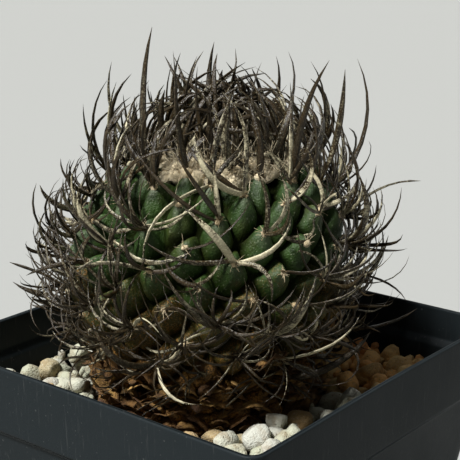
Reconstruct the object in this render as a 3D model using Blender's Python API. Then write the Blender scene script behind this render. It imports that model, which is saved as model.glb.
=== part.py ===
"""A round, long-spined cactus in a square plastic nursery pot, top-dressed with loose stones.

Frame: origin at the middle of the pot's footprint, on the surface it stands on, +Z up, sides along X and Y.
Sizes are in millimetres and become metres when a mesh is made.
"""

import math

import bmesh
import bpy
import numpy as np
from mathutils import Vector

MM = 0.001

# Pot
POT_WIDTH = 75.0            # across the outside of the rim
POT_HEIGHT = 66.0
POT_BASE_WIDTH = 55.0       # across the foot
POT_WALL = 1.0
POT_CORNER = 3.0            # outside corner radius
CORNER_STEPS = 8
LIP_BEVEL = 0.25
BAND_HEIGHT = 12.2          # the outside band under the rim
BAND_TAPER = 0.35
BAND_STEP = 0.9             # how far the wall steps in under the band
LEDGE_DEPTH = 6.0           # the step inside, below the rim
LEDGE_HEIGHT = 1.3
FOOT_HEIGHT = 2.2           # the base is raised on a foot this high
FOOT_WIDTH = 2.0
FLOOR_THICKNESS = 1.4
DRAIN_RADIUS = 3.5
DRAIN_SPACING = 15.0        # outer drain holes, from the middle along X and Y

# Filling
CLEARANCE = 0.3             # air between pieces that rest on each other
SOIL_BELOW_RIM = 16.0
SOIL_EDGE = 0.7             # the soft edge round its top
GRAVEL_BED_BELOW_RIM = 12.4
GRAVEL_LUMP = 0.35
GRAVEL_WAVE = 1.2           # how closely the lumps follow each other
GRAVEL_EDGE = 0.5
STONE_SIZE = 6.0            # the longest side of the largest stone
SMALLEST_STONE = 0.86       # as a share of that
STONE_WIDTHS = (0.80, 0.95)  # a stone's width, as a share of its length, from and to
STONE_FLATNESS = 0.72       # its height, as a share of its length
STONE_DENT = 0.07
LOOP_STONES = 20            # stones on a loop around the plant
LOOP_REACHES = (0.45, 0.65)  # where they lie by turns, as a share of the way to the wall
CORNER_GAP = 0.62           # from a wall to the middle of a corner stone, in stone sizes
STONE_GAP = 1.1             # from a corner stone's middle to the nearest others, in stone sizes
STONE_SEED = 7
CLAY_AZIMUTH = 60.0         # the stones on this side are clay
CLAY_SPREAD = 36.0          # degrees to each side of it

# Plant
STEM_RADIUS = 21.5          # in the grooves, at its widest
STEM_HEIGHT = 48.9
LEAN_AZIMUTH = 39.0         # the stem's axis bends towards and away from this direction
CELL_AREA = 38.0            # skin area of one tubercle on the green part
TUBERCLE_HEIGHT = 4.0
TUBERCLE_SLANT = 0.35       # how far a tubercle points up the stem, as a share of its height
TUBERCLE_TIP = 0.46         # the flat on its tip, as a share of its cell
GOLDEN_ANGLE = math.radians(137.50776)
SPIRALS = (13, 21)          # the two families of spiral rows
CROWN_RADIUS = 5.0          # the tubercle rows start here
WOOL_RADIUS = 9.5
WOOL_HEIGHT = 3.2
WOOL_TUFTS = 7
WOOL_TUFT = 0.05            # how far they stand out, as a share of its radius
WOOL_OUTLINE = ((0.60, 0.0), (0.94, 0.14), (1.0, 0.45), (0.84, 0.84), (0.52, 1.0), (0.15, 0.8))

# Outline of the stem: share of its radius, share of its height
STEM_OUTLINE = (
    (0.72, 0.000), (0.82, 0.050), (0.865, 0.115), (0.90, 0.215), (0.94, 0.336), (0.98, 0.457), (1.00, 0.577),
    (0.985, 0.698), (0.915, 0.799), (0.79, 0.879), (0.635, 0.940), (0.47, 0.975), (0.32, 0.993), (0.16, 1.000),
)
# Along the stem: share of its height, then millimetres of lean, or a share of the full value
LEAN_ALONG = ((0.0, -1.6), (0.235, -2.0), (0.517, -2.4), (0.752, -1.2), (1.0, 1.0))
HEIGHT_ALONG = ((0.0, 0.0), (0.056, 0.30), (0.235, 0.45), (0.31, 0.65), (0.395, 0.95), (0.56, 1.0), (0.87, 0.9),
                (0.94, 0.55), (0.97, 0.15), (1.0, 0.0))
AREA_ALONG = ((0.0, 0.48), (0.207, 0.50), (0.338, 0.80), (0.47, 1.0), (0.80, 0.95), (0.94, 0.75), (1.0, 0.55))

# The longest spines. Each stands on the tubercle nearest to an azimuth in degrees and a share of the
# stem's height. Its tip is so many millimetres out from there, up, and round anticlockwise. The bow is
# how far its middle bulges from the straight line, as a share of its length; it is above zero when
# the spine curls upwards and inwards.
LONG_SPINES = (
    (-108, 0.94, -1, 25, 1, 0.04), (-80, 0.95, 1, 21, -2, 0.05), (-140, 0.93, -1, 16, -2, 0.20),
    (-160, 0.86, -3, 15, 0, 0.28), (-3, 0.94, 6, 21, 2, -0.06), (62, 0.93, -3, 17, -4, 0.22),
    (25, 0.91, 4, 20, 1, 0.06), (45, 0.87, 4, 22, 5, 0.16), (12, 0.82, 5, 14, -3, 0.22),
    (100, 0.94, -2, 16, 2, 0.18), (140, 0.91, -3, 15, -2, 0.22), (-50, 0.94, -6, 15, 3, 0.20),
    (40, 0.75, 14, 6, 1, -0.12), (30, 0.64, 9, 12, -4, 0.16), (44, 0.49, 10, 11, 3, 0.10),
    (36, 0.415, 15, 4, 0, 0.12), (-140, 0.545, 10, 5, -1, -0.05), (-148, 0.43, 11, 3, 0, 0.08),
    (-135, 0.695, 5, 13, 3, 0.20), (-150, 0.78, 7, 5, 2, 0.18), (-52, 0.565, 6, 13, -9, 0.22),
    (-30, 0.515, 5, 11, 6, 0.24), (-8, 0.28, 6, 7, 14, 0.12), (-68, 0.375, 6, 8, -9, 0.26),
    (85, 0.565, 7, 12, 3, 0.20), (130, 0.47, 8, 11, -3, 0.20), (172, 0.58, 6, 12, 3, 0.20),
    (-172, 0.375, 7, 9, -4, 0.22),
)
SPINE_WIDTH = 1.4
SPINE_THICKNESS = 0.7
SPINE_TIP = 0.22            # width left at the tip, as a share
SPINE_TAPER = 0.8           # how early it narrows
SPINE_RINGS = 8
SPINE_SIDES = 6

COLOURS = {
    "black_plastic": ((0.022, 0.026, 0.030), 0.42),
    "potting_mix": ((0.050, 0.035, 0.025), 0.95),
    "gravel": ((0.45, 0.42, 0.36), 0.9),
    "pumice": ((0.72, 0.72, 0.66), 0.9),
    "fired_clay": ((0.48, 0.22, 0.10), 0.9),
    "stem_skin": ((0.060, 0.150, 0.060), 0.5),
    "wool": ((0.72, 0.60, 0.42), 1.0),
    "spine": ((0.16, 0.13, 0.11), 0.6),
}

RIM_Z = POT_HEIGHT
SOIL_TOP = POT_HEIGHT - SOIL_BELOW_RIM
BED_TOP = POT_HEIGHT - GRAVEL_BED_BELOW_RIM
STEM_BOTTOM = SOIL_TOP + CLEARANCE
STEM_TOP = STEM_BOTTOM + STEM_HEIGHT


def clear_scene():
    for obj in list(bpy.data.objects):
        bpy.data.objects.remove(obj)


def material(slot):
    """The slot's own Principled material, made once."""
    found = bpy.data.materials.get(slot)
    if found:
        return found
    colour, roughness = COLOURS[slot]
    made = bpy.data.materials.new(slot)
    made.use_nodes = True
    shader = made.node_tree.nodes["Principled BSDF"]
    shader.inputs["Base Color"].default_value = (*colour, 1.0)
    shader.inputs["Roughness"].default_value = roughness
    return made


def add_object(name, points, faces, slot):
    """A mesh object from points in millimetres, its origin at the middle of its box, welded and facing out."""
    points = np.asarray(points, float) * MM
    middle = (points.min(0) + points.max(0)) / 2
    mesh = bpy.data.meshes.new(name)
    mesh.from_pydata([tuple(p) for p in points - middle], [], [tuple(f) for f in faces])
    work = bmesh.new()
    work.from_mesh(mesh)
    bmesh.ops.remove_doubles(work, verts=work.verts, dist=1e-6)
    bmesh.ops.recalc_face_normals(work, faces=work.faces)
    work.to_mesh(mesh)
    work.free()
    mesh.materials.append(material(slot))
    mesh.shade_smooth()
    mesh.set_sharp_from_angle(angle=math.radians(35))
    obj = bpy.data.objects.new(name, mesh)
    obj.location = Vector(middle)
    bpy.context.scene.collection.objects.link(obj)
    return obj


# ---- Pot ---------------------------------------------------------------------------------------


def outer_half(z):
    """Half the pot's outside width under the band, at height z."""
    under_band = POT_WIDTH / 2 - BAND_TAPER - BAND_STEP
    share = z / (POT_HEIGHT - BAND_HEIGHT - BAND_STEP)
    return POT_BASE_WIDTH / 2 + (under_band - POT_BASE_WIDTH / 2) * share


def inner_half(z):
    """Half the pot's inside width at height z."""
    ledge_bottom = RIM_Z - LEDGE_DEPTH - LEDGE_HEIGHT
    if z >= RIM_Z - LEDGE_DEPTH:
        return POT_WIDTH / 2 - POT_WALL
    low = outer_half(0) - POT_WALL
    high = POT_WIDTH / 2 - BAND_TAPER - BAND_STEP - POT_WALL
    if z >= ledge_bottom:
        share = (z - ledge_bottom) / LEDGE_HEIGHT
        return high + (POT_WIDTH / 2 - POT_WALL - high) * share
    return low + (high - low) * z / ledge_bottom


def square_ring(half, z, radius):
    """Points round a square with rounded corners, anticlockwise."""
    ring = []
    for quarter in range(4):
        start = quarter * math.pi / 2
        corner = start + math.pi / 4
        cx = (half - radius) * math.sqrt(2) * math.cos(corner)
        cy = (half - radius) * math.sqrt(2) * math.sin(corner)
        for step in range(CORNER_STEPS + 1):
            angle = start + step * math.pi / 2 / CORNER_STEPS
            ring.append((cx + radius * math.cos(angle), cy + radius * math.sin(angle), z))
    return ring


def loft(rings, close_ends=True, loop=False):
    """Points and faces through rings of equal count; the ends are capped, or joined when loop is set."""
    count = len(rings[0])
    points = [p for ring in rings for p in ring]
    faces = []
    for r in range(len(rings) if loop else len(rings) - 1):
        low = r * count
        high = (r + 1) % len(rings) * count
        for i in range(count):
            j = (i + 1) % count
            faces.append((low + i, low + j, high + j, high + i))
    if close_ends and not loop:
        last = (len(rings) - 1) * count
        faces.append(tuple(range(count))[::-1])
        faces.append(tuple(range(last, last + count)))
    return points, faces


def pot():
    """The tapered shell, lofted from the middle of its underside, up outside, over the lip and down inside."""
    half = POT_WIDTH / 2
    floor_top = FOOT_HEIGHT + FLOOR_THICKNESS
    band_bottom = RIM_Z - BAND_HEIGHT
    inside = POT_CORNER - POT_WALL
    foot = POT_BASE_WIDTH / 2
    outline = (
        (foot - FOOT_WIDTH - 0.3, FOOT_HEIGHT, inside),
        (foot - FOOT_WIDTH, 0.0, inside),
        (foot - 0.3, 0.0, POT_CORNER),
        (outer_half(0.4), 0.4, POT_CORNER),
        (outer_half(band_bottom - BAND_STEP), band_bottom - BAND_STEP, POT_CORNER),
        (half - BAND_TAPER, band_bottom, POT_CORNER),
        (half, RIM_Z - LIP_BEVEL, POT_CORNER),
        (half - LIP_BEVEL, RIM_Z, POT_CORNER - LIP_BEVEL),
        (half - POT_WALL + LIP_BEVEL, RIM_Z, inside + LIP_BEVEL),
        (inner_half(RIM_Z), RIM_Z - LIP_BEVEL, inside),
        (inner_half(RIM_Z - LEDGE_DEPTH), RIM_Z - LEDGE_DEPTH, inside),
        (inner_half(RIM_Z - LEDGE_DEPTH - LEDGE_HEIGHT), RIM_Z - LEDGE_DEPTH - LEDGE_HEIGHT, inside),
        (inner_half(floor_top), floor_top, inside),
    )
    points, faces = loft([square_ring(*ring) for ring in outline])
    shell = add_object("pot", points, faces, "black_plastic")
    places = [(0, 0)] + [(DRAIN_SPACING * sx, DRAIN_SPACING * sy) for sx in (-1, 1) for sy in (-1, 1)]
    for number, (x, y) in enumerate(places, 1):
        cutter = drain_cutter(f"drain_cutter_{number}", x, y)
        cut = shell.modifiers.new(f"drain_{number}", "BOOLEAN")
        cut.object = cutter
        cut.operation = "DIFFERENCE"
        cut.solver = "EXACT"


def drain_cutter(name, x, y):
    """A plain round cutter that passes right through the pot's floor."""
    sides = 16
    rings = []
    for z in (FOOT_HEIGHT - 1.0, FOOT_HEIGHT + FLOOR_THICKNESS + 1.0):
        turn = [2 * math.pi * i / sides for i in range(sides)]
        rings.append([(x + DRAIN_RADIUS * math.cos(a), y + DRAIN_RADIUS * math.sin(a), z) for a in turn])
    cutter = add_object(name, *loft(rings), "black_plastic")
    cutter.hide_render = True
    cutter.display_type = "WIRE"
    return cutter


# ---- Filling -----------------------------------------------------------------------------------


def potting_mix():
    """The soil block, a clearance away from the pot all round, with a slightly crowned top."""
    floor = FOOT_HEIGHT + FLOOR_THICKNESS + CLEARANCE
    inside = POT_CORNER - POT_WALL
    heights = (floor, SOIL_TOP - SOIL_EDGE, SOIL_TOP)
    inset = (0.0, 0.0, SOIL_EDGE)
    rings = [square_ring(inner_half(z) - CLEARANCE - i, z, inside) for z, i in zip(heights, inset)]
    add_object("potting_mix", *loft(rings), "potting_mix")


def wall_distance(angle, half):
    """From the middle to a square wall, in this direction."""
    return half / max(abs(math.cos(angle)), abs(math.sin(angle)))


def gravel_bed():
    """The lower layer of small stones as one lumpy slab with a hole that the stem stands in."""
    around = 48
    across = 6
    bottom = SOIL_TOP + CLEARANCE
    half = inner_half(bottom) - 2 * CLEARANCE
    lean_x, lean_y = lean_at(bottom)
    rings = []
    for row in range(across + 1):
        share = row / across
        ring = []
        for i in range(around):
            angle = 2 * math.pi * (i + 0.5) / around
            near = bed_hole()
            x0 = lean_x + near * math.cos(angle)
            y0 = lean_y + near * math.sin(angle)
            far = wall_distance(angle, half)
            x = x0 + (far * math.cos(angle) - x0) * share
            y = y0 + (far * math.sin(angle) - y0) * share
            lump = GRAVEL_LUMP * math.sin(GRAVEL_WAVE * x) * math.cos(GRAVEL_WAVE * y)
            edge = 0.0 if 0 < row < across else GRAVEL_EDGE
            ring.append((x, y, BED_TOP - GRAVEL_LUMP + lump - edge))
        rings.append(ring)
    outer_foot = [(x, y, bottom) for x, y, _ in rings[-1]]
    inner_foot = [(x, y, bottom) for x, y, _ in rings[0]]
    points, faces = loft([*rings, outer_foot, inner_foot], loop=True)
    add_object("gravel_bed", points, faces, "gravel")


def bed_hole():
    """Radius of the hole in the gravel bed: the stem with its dry scales, and a clearance."""
    share = (BED_TOP - STEM_BOTTOM) / STEM_HEIGHT
    scale = TUBERCLE_HEIGHT * along(HEIGHT_ALONG, share)
    return STEM_RADIUS * radius_share(share) + scale + 2 * CLEARANCE


def stone(name, x, y, size, slot, random):
    """One worn stone: a ball of 80 faces, flattened and dented, resting on the gravel bed."""
    work = bmesh.new()
    bmesh.ops.create_icosphere(work, subdivisions=2, radius=0.5)
    stretch = size * np.array([1.0, random.uniform(*STONE_WIDTHS), STONE_FLATNESS])
    turn = random.uniform(0, math.pi)
    ripple = random.uniform(0, 2 * math.pi, 3)
    points = []
    for vertex in work.verts:
        p = np.array(vertex.co)
        dent = 1 + STONE_DENT * np.sin(7 * p + ripple).sum()
        px, py, pz = p * min(dent, 1 + 1.7 * STONE_DENT) * stretch
        points.append((px * math.cos(turn) - py * math.sin(turn), px * math.sin(turn) + py * math.cos(turn), pz))
    faces = [tuple(v.index for v in face.verts) for face in work.faces]
    work.free()
    points = np.array(points)
    points += np.array([x, y, BED_TOP + CLEARANCE - points[:, 2].min()])
    add_object(name, points, faces, slot)


def stones():
    """A loop of stones between the stem and the walls, and one more in each corner."""
    random = np.random.default_rng(STONE_SEED)
    half = inner_half(BED_TOP) - CLEARANCE
    lean_x, lean_y = lean_at(BED_TOP)
    corner = half - STONE_SIZE * CORNER_GAP
    near = bed_hole() + STONE_SIZE / 2
    places = []
    for i in range(LOOP_STONES):
        angle = 2 * math.pi * (i + 0.5) / LOOP_STONES
        far = min(wall_distance(angle, half) - STONE_SIZE / 2, corner * math.sqrt(2) - STONE_SIZE * STONE_GAP)
        reach = near + (far - near) * LOOP_REACHES[i % 2]
        places.append((reach * math.cos(angle) + lean_x / 2, reach * math.sin(angle) + lean_y / 2))
    places += [(corner * sx, corner * sy) for sx in (-1, 1) for sy in (-1, 1)]
    counts = {"pumice_stone": 0, "clay_stone": 0}
    for x, y in places:
        turn = math.degrees(math.atan2(y, x)) - CLAY_AZIMUTH
        is_clay = abs((turn + 180) % 360 - 180) < CLAY_SPREAD
        name, slot = ("clay_stone", "fired_clay") if is_clay else ("pumice_stone", "pumice")
        counts[name] += 1
        size = STONE_SIZE * random.uniform(SMALLEST_STONE, 1.0)
        stone(f"{name}_{counts[name]:02d}", x, y, size, slot, random)


# ---- Plant -------------------------------------------------------------------------------------


def along(table, share):
    """The value of a two-column table at this share of the stem's height."""
    shares, values = zip(*table)
    return float(np.interp(share, shares, values))


def lean_at(z):
    """Sideways shift of the stem's axis at height z."""
    shift = along(LEAN_ALONG, (z - STEM_BOTTOM) / STEM_HEIGHT)
    angle = math.radians(LEAN_AZIMUTH)
    return shift * math.cos(angle), shift * math.sin(angle)


def smooth_line(points, per_span):
    """A Catmull-Rom curve through the points."""
    p = np.array(points, float)
    ends = np.vstack([2 * p[0] - p[1], p, 2 * p[-1] - p[-2]])
    t = np.linspace(0, 1, per_span, endpoint=False)[:, None]
    spans = []
    for i in range(1, len(ends) - 2):
        a, b, c, d = ends[i - 1:i + 3]
        spans.append(b + 0.5 * t * (c - a + t * (2 * a - 5 * b + 4 * c - d + t * (3 * (b - c) + d - a))))
    return np.vstack([*spans, p[-1:]])


def radius_share(share):
    """The stem's radius at a share of its height, as a share of its widest."""
    line = smooth_line(STEM_OUTLINE, 12)
    return float(np.interp(share, line[:, 1], line[:, 0]))


class StemSkin:
    """The stem's skin, laid out by a running number: tubercle k sits k golden angles round.

    The number grows from the crown down, by one for each tubercle's area of skin. The line ends with the
    flat underside, so that the spiral rows run on under the stem.
    """

    def __init__(self):
        side = smooth_line([(r * STEM_RADIUS, h * STEM_HEIGHT) for r, h in STEM_OUTLINE], 12)[::-1]
        under = [(side[-1, 0] * (1 - 0.1 * i), 0.0) for i in range(1, 8)]
        line = np.vstack([side, under])
        line = line[line[:, 0] >= CROWN_RADIUS]
        length = np.hypot(*np.diff(line, axis=0).T)
        middle = (line[1:] + line[:-1]) / 2
        share = middle[:, 1] / STEM_HEIGHT
        area = CELL_AREA * np.interp(share, *zip(*AREA_ALONG))
        number = np.cumsum(2 * math.pi * middle[:, 0] * length / area)
        self.number = np.concatenate([[0.0], number])
        self.radius = line[:, 0]
        self.height = line[:, 1]
        self.foot_number = float(self.number[len(self.number) - len(under)])

    def place(self, angle, number):
        """A point on the skin, with the directions out of it and up along it."""
        radius = np.interp(number, self.number, self.radius)
        height = np.interp(number, self.number, self.height)
        step = 0.5
        rise = np.interp(number - step, self.number, self.height) - np.interp(number + step, self.number, self.height)
        run = np.interp(number - step, self.number, self.radius) - np.interp(number + step, self.number, self.radius)
        size = math.hypot(rise, run) or 1.0
        around = np.array([math.cos(angle), math.sin(angle), 0.0])
        up = around * run / size + np.array([0, 0, rise / size])
        out = around * rise / size - np.array([0, 0, run / size])
        z = STEM_BOTTOM + height
        lean_x, lean_y = lean_at(z)
        return around * radius + np.array([lean_x, lean_y, z]), out, up

    def tip(self, k):
        """Where tubercle k's spines stand, and the direction out of the stem there."""
        angle = k * GOLDEN_ANGLE
        point, out, up = self.place(angle, k)
        share = float(np.interp(k, self.number, self.height)) / STEM_HEIGHT
        height = TUBERCLE_HEIGHT * along(HEIGHT_ALONG, share)
        point = point + out * height + up * height * TUBERCLE_SLANT
        return point, out

    def nearest(self, azimuth, share):
        """The tubercle closest to this azimuth, in degrees, and share of the stem's height."""
        wanted = math.radians(azimuth)
        z = STEM_BOTTOM + share * STEM_HEIGHT
        radius = STEM_RADIUS * radius_share(share)
        lean_x, lean_y = lean_at(z)
        target = np.array([radius * math.cos(wanted) + lean_x, radius * math.sin(wanted) + lean_y, z])
        numbers = range(1, int(self.foot_number))
        return min(numbers, key=lambda k: np.linalg.norm(self.place(k * GOLDEN_ANGLE, k)[0] - target))


def spiral_step(count):
    """The turn from tubercle k to tubercle k + count, between -180 and 180 degrees."""
    turn = count * GOLDEN_ANGLE
    return turn - 2 * math.pi * round(turn / (2 * math.pi))


def stem(skin):
    """One solid skin of four-sided tubercles, one cell each, in two families of spiral rows.

    Each cell is a diamond between the spiral rows. Its corners lie in the grooves, and a smaller diamond
    stands out over its middle, shifted up the stem.
    """
    few, many = SPIRALS
    turn_few = spiral_step(few)
    turn_many = spiral_step(many)
    corners = ((-0.5, -0.5), (0.5, -0.5), (0.5, 0.5), (-0.5, 0.5))
    points = []
    faces = []
    first = (few + many) // 2
    last = int(skin.number[-1]) - (few + many) // 2
    for k in range(first, last):
        share = float(np.interp(k, skin.number, skin.height)) / STEM_HEIGHT
        height = TUBERCLE_HEIGHT * along(HEIGHT_ALONG, share) if k < skin.foot_number - few else 0.0
        start = len(points)
        for scale, lift in ((1.0, 0.0), (TUBERCLE_TIP, height)):
            for a, b in corners:
                angle = k * GOLDEN_ANGLE + scale * (a * turn_few + b * turn_many)
                place, out, up = skin.place(angle, k + scale * (a * few + b * many))
                points.append(place + (out + up * TUBERCLE_SLANT) * lift)
        for i in range(4):
            j = (i + 1) % 4
            faces.append((start + i, start + j, start + 4 + j, start + 4 + i))
        faces.append((start + 4, start + 5, start + 6, start + 7))
    obj = add_object("stem", points, faces, "stem_skin")
    close_ends(obj)


def close_ends(obj):
    """Fills the open zigzag loops at the crown and under the stem, each with a fan to its own middle."""
    work = bmesh.new()
    work.from_mesh(obj.data)
    open_edges = [edge for edge in work.edges if edge.is_boundary]
    middle_z = sum(v.co.z for v in work.verts) / len(work.verts)
    for is_top in (True, False):
        loop = [e for e in open_edges if (e.verts[0].co.z > middle_z) == is_top]
        rim = {v for e in loop for v in e.verts}
        centre = sum((v.co for v in rim), Vector()) / len(rim)
        hub = work.verts.new(centre)
        for edge in loop:
            work.faces.new((edge.verts[0], edge.verts[1], hub))
    bmesh.ops.recalc_face_normals(work, faces=work.faces)
    work.to_mesh(obj.data)
    work.free()


def crown_wool():
    """The cushion of wool in the middle of the crown, resting on the youngest skin."""
    around = 28
    lean_x, lean_y = lean_at(STEM_TOP)
    base = STEM_TOP + CLEARANCE
    rings = []
    for radius, height in WOOL_OUTLINE:
        ring = []
        for i in range(around):
            angle = 2 * math.pi * i / around
            tuft = 1 + WOOL_TUFT * math.cos(WOOL_TUFTS * angle)
            reach = radius * WOOL_RADIUS * tuft
            ring.append((lean_x + reach * math.cos(angle), lean_y + reach * math.sin(angle),
                         base + WOOL_HEIGHT * height))
        rings.append(ring)
    add_object("crown_wool", *loft(rings), "wool")


def spine(name, skin, azimuth, level, tip_out, tip_up, tip_round, bow):
    """A flat, tapering spine: a circular arc from its areole to its tip, swept by a narrowing oval."""
    point, out = skin.tip(skin.nearest(azimuth, level))
    angle = math.atan2(out[1], out[0])
    radial = np.array([math.cos(angle), math.sin(angle), 0.0])
    tangent = np.array([-math.sin(angle), math.cos(angle), 0.0])
    chord = radial * tip_out + tangent * tip_round + np.array([0, 0, tip_up])
    length = np.linalg.norm(chord)
    chord /= length
    bulge = np.cross(tangent, chord)
    bulge /= np.linalg.norm(bulge)
    flat = np.cross(chord, bulge)
    half_turn = 2 * math.atan(2 * bow) or 1e-6
    arc_radius = length / 2 / math.sin(half_turn)
    root = point + out * (2 * CLEARANCE + SPINE_THICKNESS / 2)
    rings = []
    for r in range(SPINE_RINGS):
        share = r / (SPINE_RINGS - 1)
        turn = half_turn * (2 * share - 1)
        centre = root + chord * (length / 2 + arc_radius * math.sin(turn))
        centre = centre + bulge * arc_radius * (math.cos(turn) - math.cos(half_turn))
        face = bulge * math.cos(turn) + chord * math.sin(turn)
        taper = SPINE_TIP + (1 - SPINE_TIP) * (1 - share) ** SPINE_TAPER
        ring = []
        for i in range(SPINE_SIDES):
            a = 2 * math.pi * i / SPINE_SIDES
            offset = flat * math.cos(a) * SPINE_WIDTH / 2 + face * math.sin(a) * SPINE_THICKNESS / 2
            ring.append(tuple(centre + offset * taper))
        rings.append(ring)
    add_object(name, *loft(rings), "spine")


def main():
    clear_scene()
    skin = StemSkin()
    pot()
    potting_mix()
    gravel_bed()
    stones()
    stem(skin)
    crown_wool()
    for number, row in enumerate(LONG_SPINES, 1):
        spine(f"spine_{number:02d}", skin, *row)


main()
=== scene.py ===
"""Looks of a potted round cactus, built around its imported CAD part.

Laid out as an add-on and run as a script: each operator makes one piece or a group of like pieces.
"""

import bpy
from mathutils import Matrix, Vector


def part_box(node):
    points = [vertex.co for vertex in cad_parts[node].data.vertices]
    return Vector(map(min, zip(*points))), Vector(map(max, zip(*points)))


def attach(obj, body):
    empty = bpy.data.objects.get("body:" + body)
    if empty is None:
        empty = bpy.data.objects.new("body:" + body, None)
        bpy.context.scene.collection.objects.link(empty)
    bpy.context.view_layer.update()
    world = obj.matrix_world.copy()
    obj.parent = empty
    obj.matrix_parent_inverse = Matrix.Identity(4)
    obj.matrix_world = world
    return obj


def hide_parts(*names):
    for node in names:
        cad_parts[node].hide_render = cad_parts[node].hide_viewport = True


bl_info = {
    "name": "Potted round cactus",
    "version": (1, 0, 0),
    "blender": (4, 5, 0),
    "location": "View3D > Sidebar > Cactus",
    "description": "Builds a round cactus with curved spines in a square nursery pot, with its stage",
    "category": "Object",
}

import math

import bmesh
import bpy
import numpy as np
from bpy.props import FloatProperty, FloatVectorProperty, IntProperty, PointerProperty
from mathutils import Matrix, Vector

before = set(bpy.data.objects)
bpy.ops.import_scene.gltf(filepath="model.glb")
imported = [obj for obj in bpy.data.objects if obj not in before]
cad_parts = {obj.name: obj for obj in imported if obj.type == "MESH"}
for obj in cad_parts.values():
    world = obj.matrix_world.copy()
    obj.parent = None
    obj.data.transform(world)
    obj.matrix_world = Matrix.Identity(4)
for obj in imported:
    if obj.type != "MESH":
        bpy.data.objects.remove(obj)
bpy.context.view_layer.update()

MM = 0.001
BODY = "root"
CLEARANCE = 0.3 * MM          # the air that the CAD part leaves between touching pieces
WALL_ROOM = 2.4 * MM          # what loose pieces leave free inside the pot's rim, from its outside
UP = np.array([0.0, 0.0, 1.0])

# How the plant grows, as in the CAD part: the turn from one tubercle to the next, and the spiral rows
GOLDEN_ANGLE = math.radians(137.50776)
SPIRALS = (13, 21)
STEM_OUTLINE = (
    (0.72, 0.000), (0.82, 0.050), (0.865, 0.115), (0.90, 0.215), (0.94, 0.336), (0.98, 0.457),
    (1.00, 0.577), (0.985, 0.698), (0.915, 0.799), (0.79, 0.879), (0.635, 0.940), (0.47, 0.975),
    (0.32, 0.993), (0.16, 1.000),
)
LEAN_ALONG = ((0.0, -1.6), (0.235, -2.0), (0.517, -2.4), (0.752, -1.2), (1.0, 1.0))
HEIGHT_ALONG = ((0.0, 0.0), (0.056, 0.30), (0.235, 0.45), (0.31, 0.65), (0.395, 0.95), (0.56, 1.0),
                (0.87, 0.9), (0.94, 0.55), (0.97, 0.15), (1.0, 0.0))
AREA_ALONG = ((0.0, 0.48), (0.207, 0.50), (0.338, 0.80), (0.47, 1.0), (0.80, 0.95), (0.94, 0.75), (1.0, 0.55))
# The longest spines: azimuth, share of the stem's height, then the tip's millimetres out, up and round,
# and the bow as a share of the length
LONG_SPINES = (
    (-108, 0.94, -1, 25, 1, 0.04), (-80, 0.95, 1, 21, -2, 0.05), (-140, 0.93, -1, 16, -2, 0.20),
    (-160, 0.86, -3, 15, 0, 0.28), (-3, 0.94, 6, 21, 2, -0.06), (62, 0.93, -3, 17, -4, 0.22),
    (25, 0.91, 4, 20, 1, 0.06), (45, 0.87, 4, 22, 5, 0.16), (12, 0.82, 5, 14, -3, 0.22),
    (100, 0.94, -2, 16, 2, 0.18), (140, 0.91, -3, 15, -2, 0.22), (-50, 0.94, -6, 15, 3, 0.20),
    (40, 0.75, 14, 6, 1, -0.12), (30, 0.64, 9, 12, -4, 0.16), (44, 0.49, 10, 11, 3, 0.10),
    (36, 0.415, 15, 4, 0, 0.12), (-140, 0.545, 10, 5, -1, -0.05), (-148, 0.43, 11, 3, 0, 0.08),
    (-135, 0.695, 5, 13, 3, 0.20), (-150, 0.78, 7, 5, 2, 0.18), (-52, 0.565, 6, 13, -9, 0.22),
    (-30, 0.515, 5, 11, 6, 0.24), (-8, 0.28, 6, 7, 14, 0.12), (-68, 0.375, 6, 8, -9, 0.26),
    (85, 0.565, 7, 12, 3, 0.20), (130, 0.47, 8, 11, -3, 0.20), (172, 0.58, 6, 12, 3, 0.20),
    (-172, 0.375, 7, 9, -4, 0.22),
)


# ---- Settings ----------------------------------------------------------------------------------


def length(name, description, default):
    return FloatProperty(name=name, description=description, default=default, min=0.0, unit="LENGTH",
                         precision=5)


def colour(name, description, default):
    return FloatVectorProperty(name=name, description=description, default=default, size=3, subtype="COLOR",
                               min=0.0, max=1.0)


class CactusPotSettings(bpy.types.PropertyGroup):
    wall: length("Wall", "Thickness of the pot's wall", 0.0010)
    corner: length("Corner", "Outside radius of the pot's corners", 0.0030)
    bow: length("Bow", "How far the middle of each side is pulled in at the rim", 0.0004)
    plastic: colour("Plastic", "Colour of the pot", (0.0135, 0.0175, 0.0192))
    dust: colour("Dust", "Colour of the lime and dust on the pot", (0.302, 0.302, 0.288))
    dust_amount: FloatProperty(name="Dust amount", description="How much dust and lime dull the pot",
                               default=0.35, min=0.0, max=1.0, subtype="FACTOR")


class CactusStemSettings(bpy.types.PropertyGroup):
    tubercle: length("Tubercle", "Height of a tubercle on the green part", 0.0040)
    detail: IntProperty(name="Detail", description="Grid steps across one tubercle", default=13,
                        min=4, max=24)
    green: colour("Green", "Colour of the healthy skin", (0.0170, 0.0380, 0.0050))
    olive: colour("Olive", "Colour of the ageing skin lower down", (0.0504, 0.0432, 0.0065))
    cork: colour("Cork", "Colour of the dried foot", (0.390, 0.190, 0.042))
    wool: colour("Wool", "Colour of the wool", (0.800, 0.700, 0.480))


class CactusSpineSettings(bpy.types.PropertyGroup):
    width: length("Width", "Width of the broadest spines", 0.0016)
    longest: length("Longest", "Length of the longest spines of the crown", 0.0240)
    dark: colour("Dark", "Colour of the dark spines", (0.0125, 0.0085, 0.0034))
    ash: colour("Ash", "Colour of the weathered spines", (0.440, 0.395, 0.260))
    seed: IntProperty(name="Seed", description="Changes the way the spines fall", default=11, min=0)


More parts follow.
